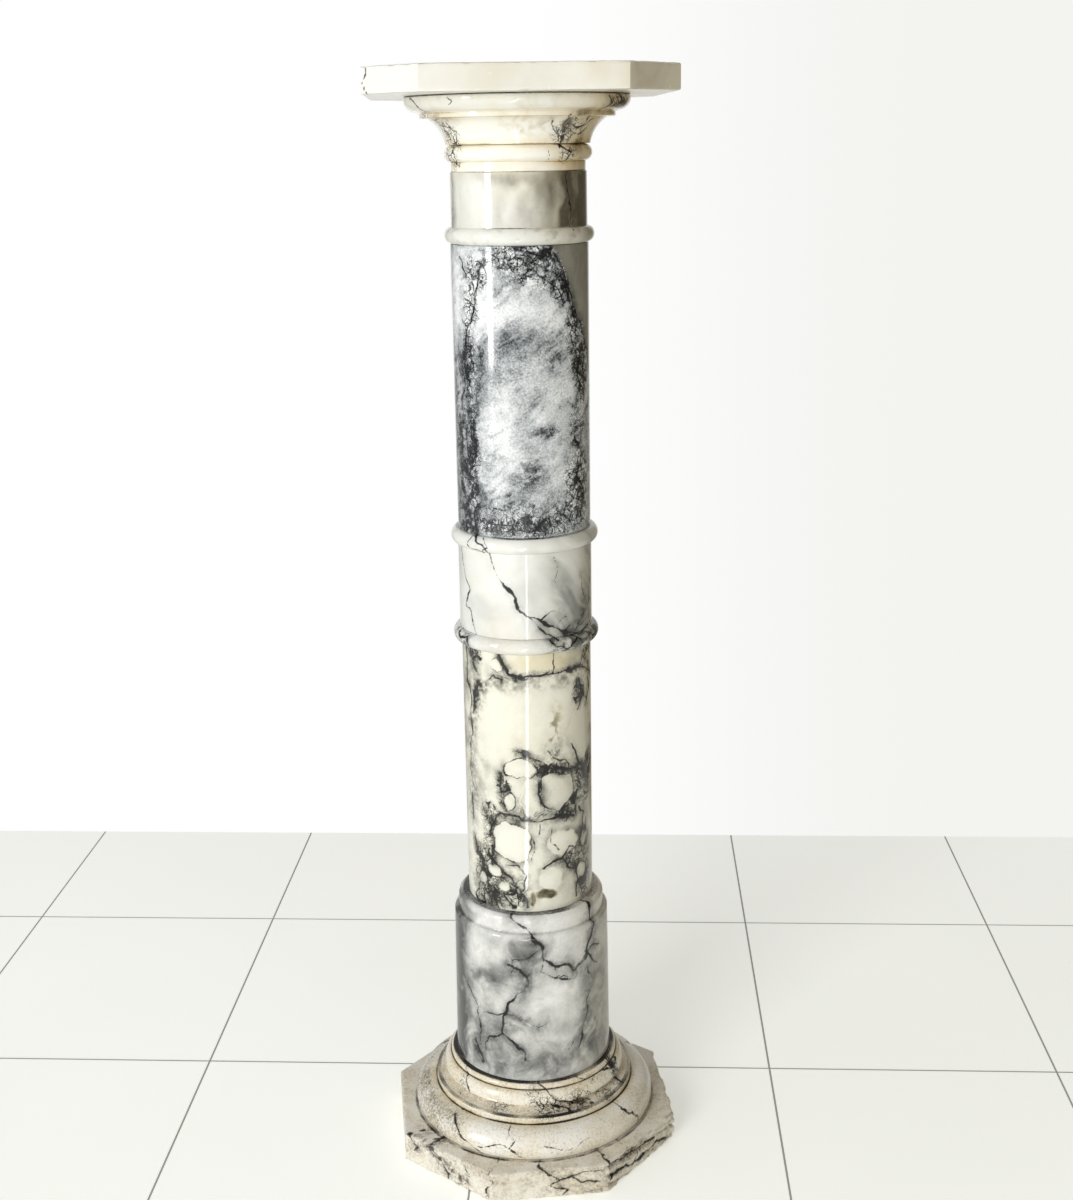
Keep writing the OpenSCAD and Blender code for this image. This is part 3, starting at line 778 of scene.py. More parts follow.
def neck_drum():
    """Grey-white drum with a ring at its foot, and folds hanging in the stone."""
    low, high = levels("neck_drum")
    radius = radius_of("neck_drum") - RING_OUT
    outline = [[[radius * 0.6, low], [radius - 1, low]], ring_outline(radius, low),
               [[radius, high - JOINT]], [[radius - JOINT, high], [radius * 0.6, high]]]
    skin = Skin(finely(outline, 1.1), round_ring(360), radius, seed=5)
    p = stir(skin.points, 16, 12, 3)
    ring = 1 - ease(skin.height, low + RING_HEIGHT - 1, low + RING_HEIGHT + 1)
    folds = clouds(p * [1, 1, 0.28], 14, 24, 5)
    # the folds, with painted shade growing from the left toward the right
    tone = 0.15 + 0.34 * (folds - 0.48) + 0.16 * ease(skin.turn, -60, 40)
    # painted shade on the right, a grey depth at the left edge, smaller grey patches, and a pale flame left
    # of the middle
    painted_shade = between(skin.turn, -2, 30, 100, 150)
    tone = tone + painted_shade * (0.36 + 0.4 * (folds - 0.5))
    tone = tone + (0.3 + 1.2 * folds) * skin.patches((
        (34, 940, 12, 34, 0.45), (64, 930, 16, 40, 0.60), (-78, 935, 7, 40, 0.40),
        (-30, 959, 14, 5, 0.30), (-13, 955, 8, 4, 0.30), (-8, 959, 12, 4, 0.24),
        (-20, 925, 6, 14, 0.22), (8, 950, 10, 10, 0.16), (-2, 930, 8, 12, 0.14)))
    for stops, width, lift in ((((-24, 908), (-18, 925), (-10, 944), (-3, 954)), 6, 0.18),
                               (((-2, 953), (4, 946), (2, 938)), 4, 0.16),
                               (((-40, 950), (-34, 930), (-38, 910)), 5, 0.16)):
        tone = tone - lift * bell(skin.from_line(*stops), width)
    behind = ease(abs(skin.turn), 90, 130)
    tone = tone + 0.5 * behind * ease(folds, 0.45, 0.7)
    tone = tone * (1 - 0.7 * ring) + ring * (0.06 + 0.3 * ease(clouds(p, 9, 6), 0.5, 0.8))
    dark, breath = skin.veins((
        (((36, 963), (37, 948), (41, 930), (40, 914)), 0.95, 0.5),
        (((-80, 962), (-78, 940), (-80, 916)), 0.8, 0.5),
        (((130, 964), (140, 940), (134, 916)), 0.9, 0.4),
        (((-130, 964), (-124, 946), (-132, 918)), 0.8, 0.4)), 5)
    tone = tone + 0.3 * breath
    dirt = skin.crease((radius, low + RING_HEIGHT), width=1.0)
    dark = np.maximum(dark, dirt * (0.40 + 0.6 * skin.patch(-18, low + RING_HEIGHT, 20, 8, 0.5)))
    dark = np.maximum(dark, worn_joint(skin, low, high))
    honey = 0.35 * skin.patch(-8, 950, 22, 14, 0.8) + 0.30 * bell(skin.height - high, 7)
    # warm: honey at the top, and the warm tint of the painted shade on the right
    warm = np.clip(0.04 + honey + 0.60 * painted_shade * (1 - 0.4 * ring), 0, 1)
    add_piece("neck_drum_skin", "neck_drum", "neck_stone", skin, curtain_marble,
              tone=tone, vein=dark, warm=warm, grain=0.5)


BASE_DRUM_HEAD = 77.0  # radius under the collar
COLLAR = 72.5  # radius of the base drum's collar
COLLAR_HEIGHT = 18
COLLAR_ROUND = 6
DRUM_ROUND = 4


def base_drum():
    """Clouded grey drum, cracked in black, under a collar."""
    low, high = levels("base_drum")
    foot = radius_of("base_drum")
    step = high - COLLAR_HEIGHT
    outline = [[[foot * 0.6, low], [foot - JOINT, low], [foot, low + JOINT]],
               arc((BASE_DRUM_HEAD - DRUM_ROUND, step - DRUM_ROUND), (DRUM_ROUND, DRUM_ROUND), 0, 88, 6),
               arc((COLLAR + 1.5, step + 1.5), (1.5, 1.5), 262, 180, 4),
               arc((COLLAR - COLLAR_ROUND, high - COLLAR_ROUND), (COLLAR_ROUND, COLLAR_ROUND), 0, 90, 8),
               [[foot * 0.6, high]]]
    skin = Skin(finely(outline, 1.25), round_ring(400), foot, seed=6)
    p = stir(skin.points, 24, 22, 3)
    drift = clouds(twist(p, 0.5) * [1, 1, 0.55], 30, 35, 5)
    fine = clouds(stir(p, 6, 5, 9), 9, 36, 4)
    tone = 0.33 + 0.75 * (drift - 0.48) + 0.50 * (fine - 0.5)
    # darker clouds here and there; the tall ones down the drum's edges, at turns -80 and 54, are painted
    # shade
    tone = tone + (0.15 + 1.35 * fine) * skin.patches((
        (-13, 228, 16, 13, 0.38), (-36, 200, 13, 10, 0.40), (-34, 116, 28, 24, 0.36),
        (-50, 112, 9, 12, 0.34), (-14, 158, 15, 9, 0.34), (-80, 190, 16, 80, 0.75),
        (-70, 118, 16, 34, 0.34), (-62, 256, 10, 10, 0.26), (-22, 262, 8, 8, 0.30),
        (54, 160, 18, 80, 0.14), (-26, 150, 10, 10, 0.24), (28, 206, 18, 8, 0.30),
        (36, 128, 16, 18, 0.26), (6, 108, 30, 14, 0.34), (46, 246, 8, 20, 0.26),
        (-12, 196, 8, 14, 0.22)), 0.95)
    tone = tone - skin.patches((
        (-46, 226, 20, 20, 0.24), (14, 178, 20, 18, 0.26), (-34, 178, 16, 12, 0.16),
        (18, 240, 22, 12, 0.16)), 0.8)
    dark, breath = skin.veins((
        (((-22, 270), (-14, 259), (-6, 247), (1, 236), (4, 223), (10, 217), (18, 216),
          (25, 206), (31, 211), (37, 219), (41, 232), (46, 246), (47, 268)), 2.3, 0.8),
        (((18, 216), (25, 206), (31, 208), (38, 216)), 3.2, 0.8),
        (((36, 222), (44, 214), (50, 204)), 1.8, 0.6), (((37, 219), (47, 224), (54, 220)), 1.2, 0.5),
        (((4, 223), (0, 212), (8, 206), (18, 200), (26, 198), (33, 206)), 1.2, 0.5),
        (((10, 217), (12, 206), (20, 202)), 1.0, 0.4),
        (((-24, 218), (-16, 214), (-11, 206), (-10, 198), (-15, 190), (-20, 183), (-25, 176),
          (-27, 166), (-29, 157), (-29, 142), (-22, 136), (-14, 124), (-12, 116)), 1.9, 0.8),
        (((-46, 159), (-36, 162), (-27, 164)), 1.6, 0.5),
        (((-62, 182), (-52, 165), (-48, 149), (-48, 124)), 1.2, 0.6),
        (((-84, 170), (-76, 163), (-68, 158)), 2.0, 0.6), (((-54, 124), (-50, 112), (-46, 104)), 2.2, 0.7),
        (((38, 208), (43, 188), (38, 166), (33, 132), (28, 119)), 1.1, 0.5),
        (((24, 132), (16, 118)), 0.9, 0.3), (((-27, 164), (-14, 160), (-4, 152), (4, 156)), 1.0, 0.6),
        (((1, 236), (-8, 226), (-18, 222), (-24, 208)), 0.9, 0.6),
        (((-29, 142), (-40, 132), (-44, 118)), 0.9, 0.5),
        # the back, in keeping
        (((96, 92), (104, 130), (98, 168), (114, 204), (108, 268)), 1.8, 0.7),
        (((114, 204), (136, 196), (150, 210), (176, 188), (204, 196), (232, 170), (262, 172)), 1.8, 0.7),
        (((176, 188), (170, 150), (184, 112), (180, 92)), 1.4, 0.6)), 27)
    dark = np.maximum(dark, 0.5 * threads(p, 30, 41, 0.010))
    tone = tone + 0.45 * breath
    dirt = skin.crease((COLLAR + 0.3, step + 0.5), width=1.3)
    # darker along the crease at the collar's foot, and the collar's rounded top paler as painted light
    tone = tone + 0.18 * dirt - 0.30 * ease(skin.height, step - 8, step + 6)
    dark = np.maximum(dark, worn_joint(skin, low, high, 0.6))
    # painted shade down the left side, and the warm tint of painted shade on the right
    tone = tone + 0.30 * between(-skin.turn, 56, 74, 110, 150)
    warm = 0.10 + 0.6 * between(skin.turn, 10, 70, 110, 160)
    add_piece("base_drum_skin", "base_drum", "grey_drum_stone", skin, grey_marble,
              tone=tone, vein=dark, warm=warm, grain=0.6)


def base_moulding():
    """Torus, fillet, hollow, band and bead. The outline counts its heights from the plinth."""
    low, high = levels("base_moulding")
    torus = radius_of("base_moulding")
    belly, torus_top, fillet, hollow, arris = 8.8, 26.5, 100.5, 86.0, 92.0
    outline = [[[60, 0], [torus - 3, 0]],
               arc((torus - 3, belly), (3, belly), -88, 0, 8),
               arc((torus - 17.7, belly), (17.7, 17.7), 8, 90, 16),
               [[fillet + 1, torus_top], [fillet, torus_top + 1], [fillet, 33.3], [fillet - 0.7, 34]],
               arc((99.5, 40), (13.5, 6), 268, 180, 10),
               arc((arris, 40), (6, 2), 172, 90, 6),
               arc((85, 42), (7, 13), 88, 6, 12),
               [[85, 55.2]],
               arc((81, 57), (4, 4), 0, 90, 8), [[55, 61]]]
    outline = finely(outline, 1.3) + [0, low]
    skin = Skin(outline, round_ring(520), 100, seed=7)
    p = skin.points
    reach = np.linalg.norm(p[..., :2], axis=-1)
    local = skin.height - low
    q = stir(p, 14, 12, 3)
    drift = clouds(q, 26, 45, 5)
    fine = clouds(q, 6, 46, 3)
    tone = 0.01 + 0.50 * (drift - 0.47) + 0.36 * (fine - 0.5)
    torus_part = 1 - ease(local, torus_top - 1, torus_top + 0.5)
    hollow_part = between(local, 33, 35, 40, 42)
    # painted shade: the hollow darker, and the torus darker down its left side
    tone = tone + 0.14 * hollow_part + 0.52 * ease(-skin.turn, 34, 62) * torus_part
    # dark net and patches where the hollow was cut through a vein
    spots = skin.strongest((
        (4, 72, 20, 8, 1.0), (22, 72, 14, 8, 1.0), (-28, 70, 12, 6, 0.7), (58, 80, 9, 12, 1.0),
        (42, 66, 12, 6, 0.7), (-8, 84, 10, 6, 0.5), (150, 74, 28, 10, 0.9), (-120, 72, 24, 9, 0.9),
        (36, 86, 7, 5, 0.5), (-60, 74, 8, 10, 0.5)), 0.8)
    spots = spots * (1 - torus_part)
    tone = tone + 0.50 * spots * ease(fine, 0.35, 0.65)
    dark, breath = skin.veins((
        (((-52, 57), (-46, 50), (-42, 44), (-36, 38), (-32, 33)), 1.3, 0.5),
        (((44, 57), (48, 48), (51, 40), (52, 32)), 1.5, 0.6),
        (((-20, 57), (-16, 50), (-18, 42), (-12, 34)), 0.8, 0.3),
        (((-34, 40), (-24, 44), (-14, 40)), 0.8, 0.4), (((-2, 46), (10, 42), (22, 46)), 0.7, 0.4),
        (((-4, 92), (3, 82), (9, 75), (20, 72), (30, 66)), 1.8, 0.7),
        (((-10, 68), (0, 72), (8, 70), (16, 66)), 1.6, 0.6),
        (((54, 92), (57, 82), (62, 74), (60, 66)), 1.6, 0.6), (((46, 84), (57, 80), (66, 84)), 1.2, 0.5),
        (((-62, 92), (-56, 80), (-50, 70)), 1.2, 0.4), (((24, 92), (30, 84), (28, 76)), 0.8, 0.3),
        (((110, 57), (124, 46), (128, 34)), 1.2, 0.4), (((-130, 57), (-118, 48), (-112, 33)), 1.2, 0.4),
        (((170, 57), (184, 50), (190, 36)), 1.1, 0.4)), 37)
    dark = np.maximum(dark, 0.5 * threads(p, 26, 51, 0.010))
    tone = tone + 0.45 * breath
    blot = skin.patch(57, 82, 6, 8, 0.5) * ease(noise(p, 4, 8), 0.3, 0.6)
    dark = np.maximum(dark, 0.95 * blot)
    patchy = 0.45 + 0.75 * noise(p, 20, 12)
    dirt = skin.crease((fillet + 0.8, low + torus_top + 0.4), (hollow, low + 40),
                       (84.9, low + 55), width=1.2)
    shade = skin.crease((fillet + 0.8, low + torus_top + 0.4), (hollow, low + 39),
                        (84.9, low + 55), width=3.2)
    tone = tone + 0.14 * shade * patchy
    dark = np.maximum(dark, 1.6 * dirt * patchy)
    worn = 1.1 * bell(local - 33.6, 0.9) * (reach > 96) * patchy
    dark = np.maximum(dark, worn)
    dark = np.maximum(dark, 1.4 * worn_joint(skin, low - 9, high))
    foot_dirt = bell(local, 1.8) * patchy
    dark = np.maximum(dark, foot_dirt)
    warm = 0.26 + 0.30 * ease(drift, 0.4, 0.6) - 0.22 * torus_part + 0.3 * shade
    # knocks along the arris and the torus, and pits in the hollow
    knock = ease(noise(p, 7, 71), 0.68, 0.86) * bell(local - 42, 2)
    pits = ease(noise(p, 3.4, 72), 0.66, 0.9) * spots
    dents = 0.35 * ease(noise(p, 15, 73), 0.6, 0.9) * torus_part
    skin.points = p - (0.9 * knock + 0.6 * pits + dents)[..., None] * skin.outward()
    add_piece("base_moulding_skin", "base_moulding", "base_stone", skin, base_marble,
              tone=tone, vein=dark, warm=warm, grain=1.0, net=0.75 * spots)


def capital():
    """Collar, astragal, flare, fillet and echinus. The outline counts its heights from the neck."""
    low, high = levels("capital")
    collar, astragal, echinus = 60.25, 66.25, radius_of("capital")
    top = high - low
    outline = [[[40, 0], [collar - 0.7, 0], [collar, 0.7]],
               arc((astragal - 7.5, 15.5), (7.5, 7.5), -78, 88, 16),
               bow((64.5, 23), (80, 45.5), 3),
               [[86.2, 45.5], [87, 46.3], [87, 49.2]],
               arc((echinus - 12, top - 3), (12, 10.6), -80, -4, 12),
               arc((echinus - 3, top - 3), (3, 3), 0, 90, 6), [[50, top]]]
    outline = finely(outline, 1.1) + [0, low]
    skin = Skin(outline, round_ring(460), 75, seed=8)
    p = skin.points
    reach = np.linalg.norm(p[..., :2], axis=-1)
    q = stir(p, 14, 12, 3)
    drift = clouds(q, 24, 15, 5)
    fine = clouds(q, 5, 16, 3)
    tone = -0.08 + 0.42 * ease(drift, 0.50, 0.80) + 0.30 * (fine - 0.5)
    # painted shade on the right side, darker and tinted warm
    right = between(skin.turn, 14, 50, 110, 150)
    tone = tone + 0.50 * right
    tone = tone + ease(fine, 0.3, 0.7) * skin.patches((
        (0, 1000, 26, 7, 0.5), (22, 996, 12, 10, 0.4), (30, 1002, 8, 9, 0.5),
        (-64, 994, 10, 14, 0.5), (56, 1020, 12, 6, 0.6), (-8, 1012, 20, 4, 0.3)))
    dark, breath = skin.veins((
        (((24, 1010), (28, 1001), (30, 994), (29, 987)), 1.2, 0.8),
        (((28, 1001), (36, 1004), (44, 1000), (52, 1006)), 0.9, 0.6),
        (((30, 994), (38, 998), (46, 994), (54, 998)), 0.9, 0.6),
        (((30, 994), (22, 998), (16, 1004)), 1.0, 0.5), (((30, 988), (38, 980), (36, 972)), 1.1, 0.4),
        (((44, 1010), (46, 1000), (52, 990)), 0.9, 0.4),
        (((-80, 1010), (-68, 1004), (-72, 996), (-62, 988), (-66, 980)), 1.1, 0.6),
        (((-62, 1006), (-56, 998), (-60, 988), (-52, 980)), 1.3, 0.5),
        (((-82, 985), (-72, 980), (-76, 974), (-64, 968)), 1.3, 0.4),
        (((-74, 1026), (-66, 1020), (-62, 1014)), 1.3, 0.4),
        (((-42, 1027), (-40, 1023), (-42, 1020)), 1.2, 0.3),
        (((52, 1027), (57, 1020), (66, 1017)), 1.7, 0.6),
        (((44, 1026), (50, 1020), (46, 1014)), 1.1, 0.5), (((16, 984), (18, 974)), 0.8, 0.2),
        (((150, 1008), (160, 998), (156, 988)), 1.2, 0.5), (((-130, 1024), (-124, 1016)), 1.2, 0.5),
        (((100, 1006), (112, 999), (120, 990)), 1.1, 0.5)), 57)
    dark = np.maximum(dark, 0.4 * threads(p, 22, 61, 0.010))
    tone = tone + 0.45 * breath
    blot = np.maximum(skin.patch(58, 1020, 5, 4, 0.6), skin.patch(30, 996, 4, 6, 0.5))
    dark = np.maximum(dark, 0.9 * blot * ease(noise(p, 3.5, 8), 0.35, 0.6))
    patchy = 0.30 + 0.8 * noise(p, 18, 12)
    seams = ((collar, low + 8.2), (64.5, low + 23.2), (80, low + 45.4), (87, low + 49.4))
    dark = np.maximum(dark, 0.8 * skin.crease(*seams, width=0.9) * patchy)
    honey = skin.crease(*seams, width=4.5)
    tone = tone + 0.10 * honey * patchy
    dark = np.maximum(dark, worn_joint(skin, low, low - 40))
    under = bell(high - skin.height, 1.6) * (reach > 90)
    dark = np.maximum(dark, 0.95 * under)
    # painted light: the left side's clouds kept from tinting warm; painted shade: the right side warmer
    left = between(-skin.turn, 10, 50, 110, 150)
    warm = 0.55 * honey * patchy + 0.25 * ease(clouds(p, 30, 22), 0.5, 0.75) * (1 - left) + 0.45 * right
    webs = skin.strongest((
        (32, 998, 14, 9, 1), (-68, 996, 14, 16, 1), (56, 1021, 10, 6, 1), (-70, 976, 12, 8, 1),
        (36, 978, 9, 7, 1), (140, 1000, 22, 12, 1)), 0.9)
    add_piece("capital_skin", "capital", "capital_stone", skin, ivory_marble,
              tone=tone, vein=dark, warm=warm, grain=0.8, net=0.70 * webs)


SLAB_TURN = -3.4
SLAB_CUT = 48


def top_slab():
    """Slab with its four corners cut back, turned a little from the plinth."""
    low, high = levels("top_slab")
    width = 266
    half = width / 2
    outline = [[[20, low], [half - 1.5, low]], [[half - 0.4, low + 0.5], [half, low + 1.5]],
               [[half, high - 1.5]], [[half - 0.4, high - 0.5], [half - 1.5, high]], [[20, high]]]
    outline = finely(outline, 2.0)
    skin = Skin(outline, canted_ring(width, SLAB_CUT, SLAB_TURN, 2.2), half, seed=9)
    p = skin.points
    q = stir(p, 30, 24, 3)
    tone = 0.20 + 0.9 * (clouds(q * [1, 1, 0.5], 40, 35) - 0.47) + 0.25 * (clouds(q, 6, 36) - 0.5)
    dark, breath = skin.veins((
        (((-59.5, 1050), (-58.5, 1044), (-59.5, 1038), (-58.5, 1028)), 1.2, 0.5),
        (((70, 1050), (76, 1040), (74, 1028)), 0.8), (((150, 1050), (158, 1040), (156, 1028)), 0.9),
        (((-130, 1050), (-126, 1040), (-129, 1028)), 0.9)), 9)
    above = skin.height > high - 0.7
    dark = np.maximum(dark, 0.7 * threads(p, 70, 71, 0.008) * above)
    across = p @ np.array([0.8, 0.6, 0]) + 16 * (noise(p, 44, 3) - 0.5) + 4 * (noise(p, 11, 4) - 0.5)
    dark = np.maximum(dark, 0.8 * thin(abs(across - 34), 1.1) * above * noise(p, 16, 8))
    tone = tone + 0.3 * breath + 0.25 * above * bell(abs(across - 34), 9) * noise(p, 9, 5)
    # one corner is nicked, and the arrises are rubbed
    nick = bell(skin.turn + 59.5, 0.9) * bell(skin.height - 1045, 6)
    edge = np.minimum(abs(skin.height - high), abs(skin.height - low))
    rim = outline[:, :1] > half - 2
    rubbed = ease(noise(p, 6, 33), 0.62, 0.85) * bell(edge, 1.4) * rim
    tone = tone + 0.15 * rubbed
    # painted light on the front and left sides, paler and less warm, and painted shade on the right sides,
    # darker and warmer
    left = between(-skin.turn, -10, 40, 110, 150) * (1 - above)
    right = between(skin.turn, 24, 32, 110, 150) * (1 - above)
    tone = tone - 0.12 * left + 0.34 * right
    warm = (0.2 + 0.4 * ease(clouds(p, 50, 3), 0.45, 0.7)) * (1 - 0.9 * left) + 0.45 * right
    skin.points = p - (1.4 * nick + 0.7 * rubbed)[..., None] * skin.outward()
    add_piece("top_slab_skin", "top_slab", "slab_stone", skin, cream_slab,
              tone=tone, vein=dark, warm=warm, grain=0.5)


def plinth():
    """Octagon with broken arrises and a rock-faced right side."""
    low, high = levels("plinth")
    width = 276
    half = width / 2
    cut = width * (1 - math.tan(math.radians(22.5))) / 2
    outline = [[[20, low], [half - 2, low]], [[half - 0.6, low + 0.6], [half, low + 2]],
               [[half, high - 2]], [[half - 0.6, high - 0.6], [half - 2, high]], [[20, high]]]
    ring = canted_ring(width, cut, 0, 1.5)
    skin = Skin(finely(outline, 1.4), ring, half, seed=10)
    p = skin.points
    reach = np.max(np.abs(p[..., :2] @ np.array([[1, 0, 0.7071, 0.7071], [0, 1, 0.7071, -0.7071]])),
                   axis=-1)
    on_top = ease(skin.height, high - 1.5, high - 0.5)
    side = 1 - on_top
    q = stir(p, 16, 14, 3)
    drift = clouds(twist(q, -0.6), 26, 65, 5)
    fine = clouds(q, 5, 64, 3)
    tone = 0.16 + 0.55 * (drift - 0.47) + 0.55 * (fine - 0.5)
    rock = between(skin.turn, 19, 24, 108, 118)
    lumps = clouds(stir(twist(p, -1.5), 10, 8, 5) * [1, 1, 1.6], 15, 66)
    tone = tone + rock * side * (0.02 + 1.2 * (lumps - 0.5))
    tone = tone + side * (0.05 + 0.7 * (clouds(q, 11, 67) - 0.5))
    # a blue-grey vein runs through the front left corner
    blue = skin.from_line((-62, 34), (-54, 28), (-48, 18), (-40, 12), (-34, 0))
    tone = tone + 0.66 * bell(blue, 9) * (0.3 + drift) * ease(fine, 0.3, 0.6)
    dark, breath = skin.veins((
        (((-6, 34), (-2, 25), (4, 20), (8, 24), (12, 16), (20, 14)), 1.9, 0.6),
        (((4, 20), (0, 12), (6, 6), (4, 0)), 1.6, 0.6), (((8, 24), (14, 28), (20, 26)), 1.0, 0.5),
        (((-56, 33), (-48, 20), (-44, 12), (-46, 2)), 1.8, 0.7),
        (((-66, 30), (-60, 22), (-63, 14)), 2.0, 0.6),
        (((-24, 31), (-22, 20), (-26, 12), (-24, 2)), 0.9, 0.5),
        (((-38, 30), (-34, 18), (-36, 8)), 0.9, 0.5), (((24, 30), (32, 22), (42, 24), (54, 18)), 2.2, 0.6),
        (((23, 12), (34, 14), (44, 8), (56, 12), (64, 6)), 2.2, 0.6),
        (((36, 31), (42, 20), (38, 8)), 1.5, 0.5),
        (((68, 28), (76, 16), (92, 20), (104, 10)), 1.3, 0.6), (((120, 30), (132, 16), (140, 3)), 1.2, 0.6),
        (((-150, 30), (-140, 18), (-146, 2)), 1.2, 0.6), (((170, 28), (184, 18), (180, 4)), 1.1, 0.6)), 67)
    dark = np.maximum(dark, 0.5 * threads(p, 30, 81, 0.012))
    tone = tone + 0.5 * breath
    # painted contact shadow on the top against the torus, the top paler as painted light, and a dark line
    # along the foot
    painted_contact_shadow = bell(np.linalg.norm(p[..., :2], axis=-1) - 123, 2.4)
    painted_contact_shadow = painted_contact_shadow * on_top * (0.45 + 0.7 * noise(p, 11, 69))
    dark = np.maximum(dark, 0.95 * painted_contact_shadow)
    tone = tone + 0.10 * on_top * ease(clouds(q, 14, 70), 0.45, 0.7) - 0.17 * on_top
    foot = bell(skin.height - low, 2.2) * (0.3 + 0.7 * noise(p, 13, 73))
    dark = np.maximum(dark, 0.7 * foot * (reach > 130))
    # broken arrises, rock-faced right side, pits everywhere
    broken = ease(noise(p, 9, 74) + 0.16 * rock, 0.55, 0.80)
    near_edge = bell(high - skin.height, 3.0) * ease(reach, half - 5, half - 1)
    low_edge = bell(skin.height - low, 2.6) * (reach > half - 4)
    low_chip = ease(noise(p, 7, 75), 0.58, 0.85) * low_edge
    pits = ease(noise(p, 3.6, 76), 0.72, 0.92)
    hewn = 3.4 * ease(lumps, 0.38, 0.66) + 1.2 * (fine - 0.3) + 1.5 * (dark * rock)
    depth = 2.2 * broken * near_edge + 1.6 * low_chip + 0.4 * pits * side + rock * side * hewn
    tone = tone + 0.20 * broken * near_edge + 0.16 * pits
    skin.points = p - np.maximum(depth, 0)[..., None] * skin.outward() * [1, 1, 0.6]
    skin.points[..., 2] = np.maximum(skin.points[..., 2], low)
    warm = 0.14 + 0.30 * ease(drift, 0.4, 0.62)
    warm = warm * (1 - 0.7 * bell(blue, 12))
    add_piece("plinth_skin", "plinth", "plinth_stone", skin, worn_marble,
              tone=tone, vein=dark, warm=warm, grain=0.9, net=0.30 * rock * side * ease(lumps, 0.4, 0.6))


plinth()
base_moulding()
base_drum()
lower_shaft()
middle_drum()
upper_shaft()
neck_drum()
capital()
top_slab()


# ---------------------------------------------------------------- room and light

TILE_WIDTH = 0.313
TILE_DEPTH = 0.345
TILE_CROSSING = (0.255, 0.097, 0)  # where two joints cross, along the floor's own axes
TILE_JOINT = 0.0013
FLOOR_TURN = -9.5
FLOOR_REACH = 4
FLOOR_END = 0.72  # how far behind the axis the floor meets the wall
FLOOR_LIGHT = 0.20  # light that the floor gives off, to every ray
FLOOR_SHOWN = 0.20  # and what the camera sees on top of it


def pale_floor():
    """Pale tiles that give off a little light, and a little more of it to the camera."""
    finish = bpy.data.materials.new("pale_floor")
    finish.use_nodes = True
    tree = finish.node_tree
    surface = tree.nodes["Principled BSDF"]
    where = add_node(tree, "TexCoord", output="Object")
    patchy = add_node(tree, "TexNoise", {"Vector": where, "Scale": 1.2, "Detail": 3}, "Fac")
    paint = add_node(tree, "ValToRGB", {0: patchy}, stops=[(0.3, "#EFF0EA"), (0.7, "#F4F5F0")])
    shifted = add_node(tree, "VectorMath", {0: where, 1: TILE_CROSSING}, operation="SUBTRACT")
    joints = add_node(tree, "TexBrick", {
        "Vector": shifted, "Scale": 1.0, "Brick Width": TILE_WIDTH, "Row Height": TILE_DEPTH,
        "Mortar Size": TILE_JOINT, "Mortar Smooth": 0.3}, "Fac", offset=0, squash=1)
    paint = add_node(tree, "Mix", {0: joints, 6: paint, 7: colour("#8E8F89")}, 2, data_type="RGBA")
    seen = add_node(tree, "LightPath", output="Is Camera Ray")
    glow = add_node(tree, "Math", {0: seen, 1: FLOOR_SHOWN, 2: FLOOR_LIGHT},
                    operation="MULTIPLY_ADD")
    for socket, made in (("Base Color", paint), ("Emission Color", paint),
                         ("Emission Strength", glow)):
        tree.links.new(made, surface.inputs[socket])
    surface.inputs["Roughness"].default_value = 0.8
    return finish


def add_floor():
    """Level floor that ends on a line behind the column."""
    corners = [(-FLOOR_REACH, -FLOOR_REACH, 0), (FLOOR_REACH, -FLOOR_REACH, 0),
               (FLOOR_REACH, FLOOR_END, 0), (-FLOOR_REACH, FLOOR_END, 0)]
    mesh = bpy.data.meshes.new("floor")
    mesh.from_pydata(corners, [], [(0, 1, 2, 3)])
    mesh.materials.append(pale_floor())
    floor = bpy.data.objects.new("floor", mesh)
    floor.rotation_euler.z = math.radians(FLOOR_TURN)
    bpy.context.scene.collection.objects.link(floor)


WALL_LEFTWARD = (-0.99, 0.11, 0)  # along the wall to the left
WALL_AHEAD = (0.11, 0.99, 0)  # straight at it


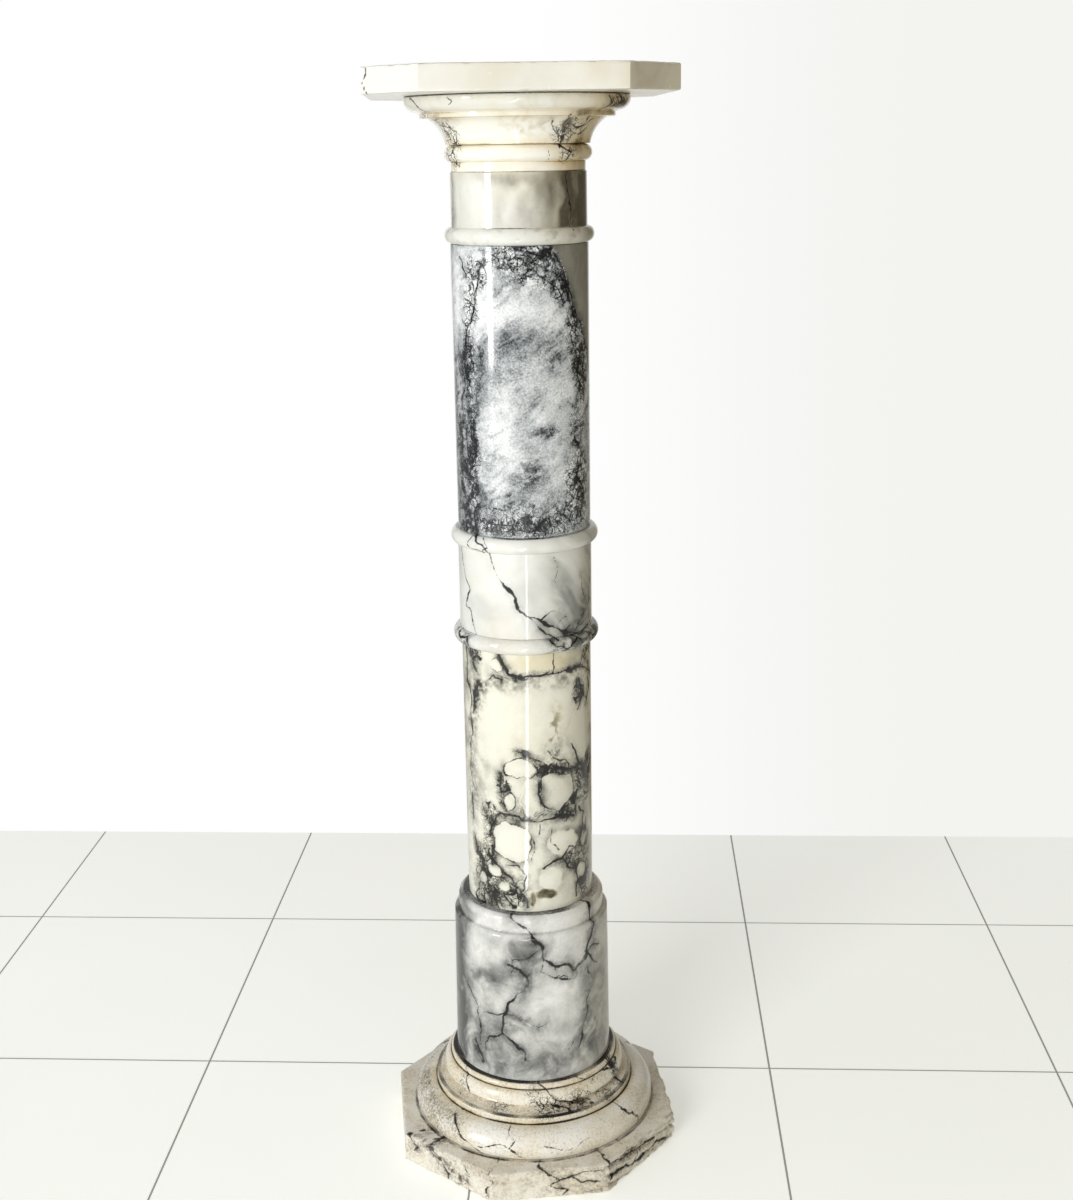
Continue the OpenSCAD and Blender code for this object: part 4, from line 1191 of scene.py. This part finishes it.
def add_world():
    """White wall to the camera, and to the polish only straight behind the column. The
    rest of the room is a soft light, brighter and cooler from the left and from above,
    and dimmer and warmer from the right."""
    world = bpy.data.worlds.new("room")
    world.use_nodes = True
    tree = world.node_tree
    way = add_node(tree, "TexCoord", output="Generated")
    leftward = add_node(tree, "VectorMath", {0: way, 1: WALL_LEFTWARD}, "Value",
                        operation="DOT_PRODUCT")
    ahead = add_node(tree, "VectorMath", {0: way, 1: WALL_AHEAD}, "Value",
                     operation="DOT_PRODUCT")
    upward = add_node(tree, "Math", {0: add_node(tree, "SeparateXYZ", {0: way}, "Z"), 1: 0.0},
                      operation="MAXIMUM")
    # the wall, a little greyer toward the right, for camera and transmission rays, and for
    # glossy rays that go straight behind the column
    toward = add_node(tree, "MapRange", {"Value": leftward, "From Min": -0.24, "From Max": 0.02},
                      interpolation_type="SMOOTHSTEP")
    wall = add_node(tree, "Mix", {0: toward, 6: colour("#F3F4F0"), 7: colour("#FFFFFF")}, 2,
                    data_type="RGBA")
    behind = add_node(tree, "MapRange", {"Value": ahead, "From Min": 0.86, "From Max": 0.97},
                      interpolation_type="SMOOTHSTEP")
    path = add_node(tree, "LightPath").node.outputs
    seen = add_node(tree, "Math", {0: path["Is Glossy Ray"], 1: behind}, operation="MULTIPLY")
    for ray in ("Is Camera Ray", "Is Transmission Ray"):
        seen = add_node(tree, "Math", {0: seen, 1: path[ray]}, operation="MAXIMUM")
    # the soft light
    side = add_node(tree, "Math", {0: leftward, 1: 0.4, 2: 0.4}, operation="MULTIPLY_ADD")
    side = add_node(tree, "Math", {0: upward, 1: 0.5, 2: side}, operation="MULTIPLY_ADD")
    light = add_node(tree, "ValToRGB", {0: side}, stops=[
        (0.0, "#695F47"), (0.4, "#8F897A"), (1.0, "#BDBFC2")])
    shown = add_node(tree, "Mix", {0: seen, 6: light, 7: wall}, 2, data_type="RGBA")
    tree.links.new(shown, tree.nodes["Background"].inputs["Color"])
    bpy.context.scene.world = world


def add_lamp(name, centre, target, width, height, power, tint, gleam):
    """Rectangular lamp at centre, turned to face target. One with gleam is only seen
    mirrored in the polish, and one without only lights."""
    data = bpy.data.lights.new(name, "AREA")
    data.shape = "RECTANGLE"
    data.size = width
    data.size_y = height
    data.energy = power
    data.color = colour(tint)[:3]
    lamp = bpy.data.objects.new(name, data)
    lamp.location = centre
    lamp.rotation_euler = (target - centre).to_track_quat("-Z", "Y").to_euler()
    bpy.context.scene.collection.objects.link(lamp)
    lamp.visible_camera = False
    lamp.visible_glossy = gleam
    lamp.visible_diffuse = not gleam


add_floor()
add_world()
middle = Vector((0, 0, 0.5))
add_lamp("daylight", place(-36, 4, 1.6), middle, 1.8, 1.8, 107, "#FFFFFF", False)
add_lamp("window_gleam", place(-58, 5, 1.3), middle, 0.85, 2.4, 135, "#FFFFFF", True)
add_lamp("low_gleam", place(-5.5, 1.63, 0.02), place(-5.5, 1.63, 1), 0.06, 2.05, 6, "#FFFFFF", True)
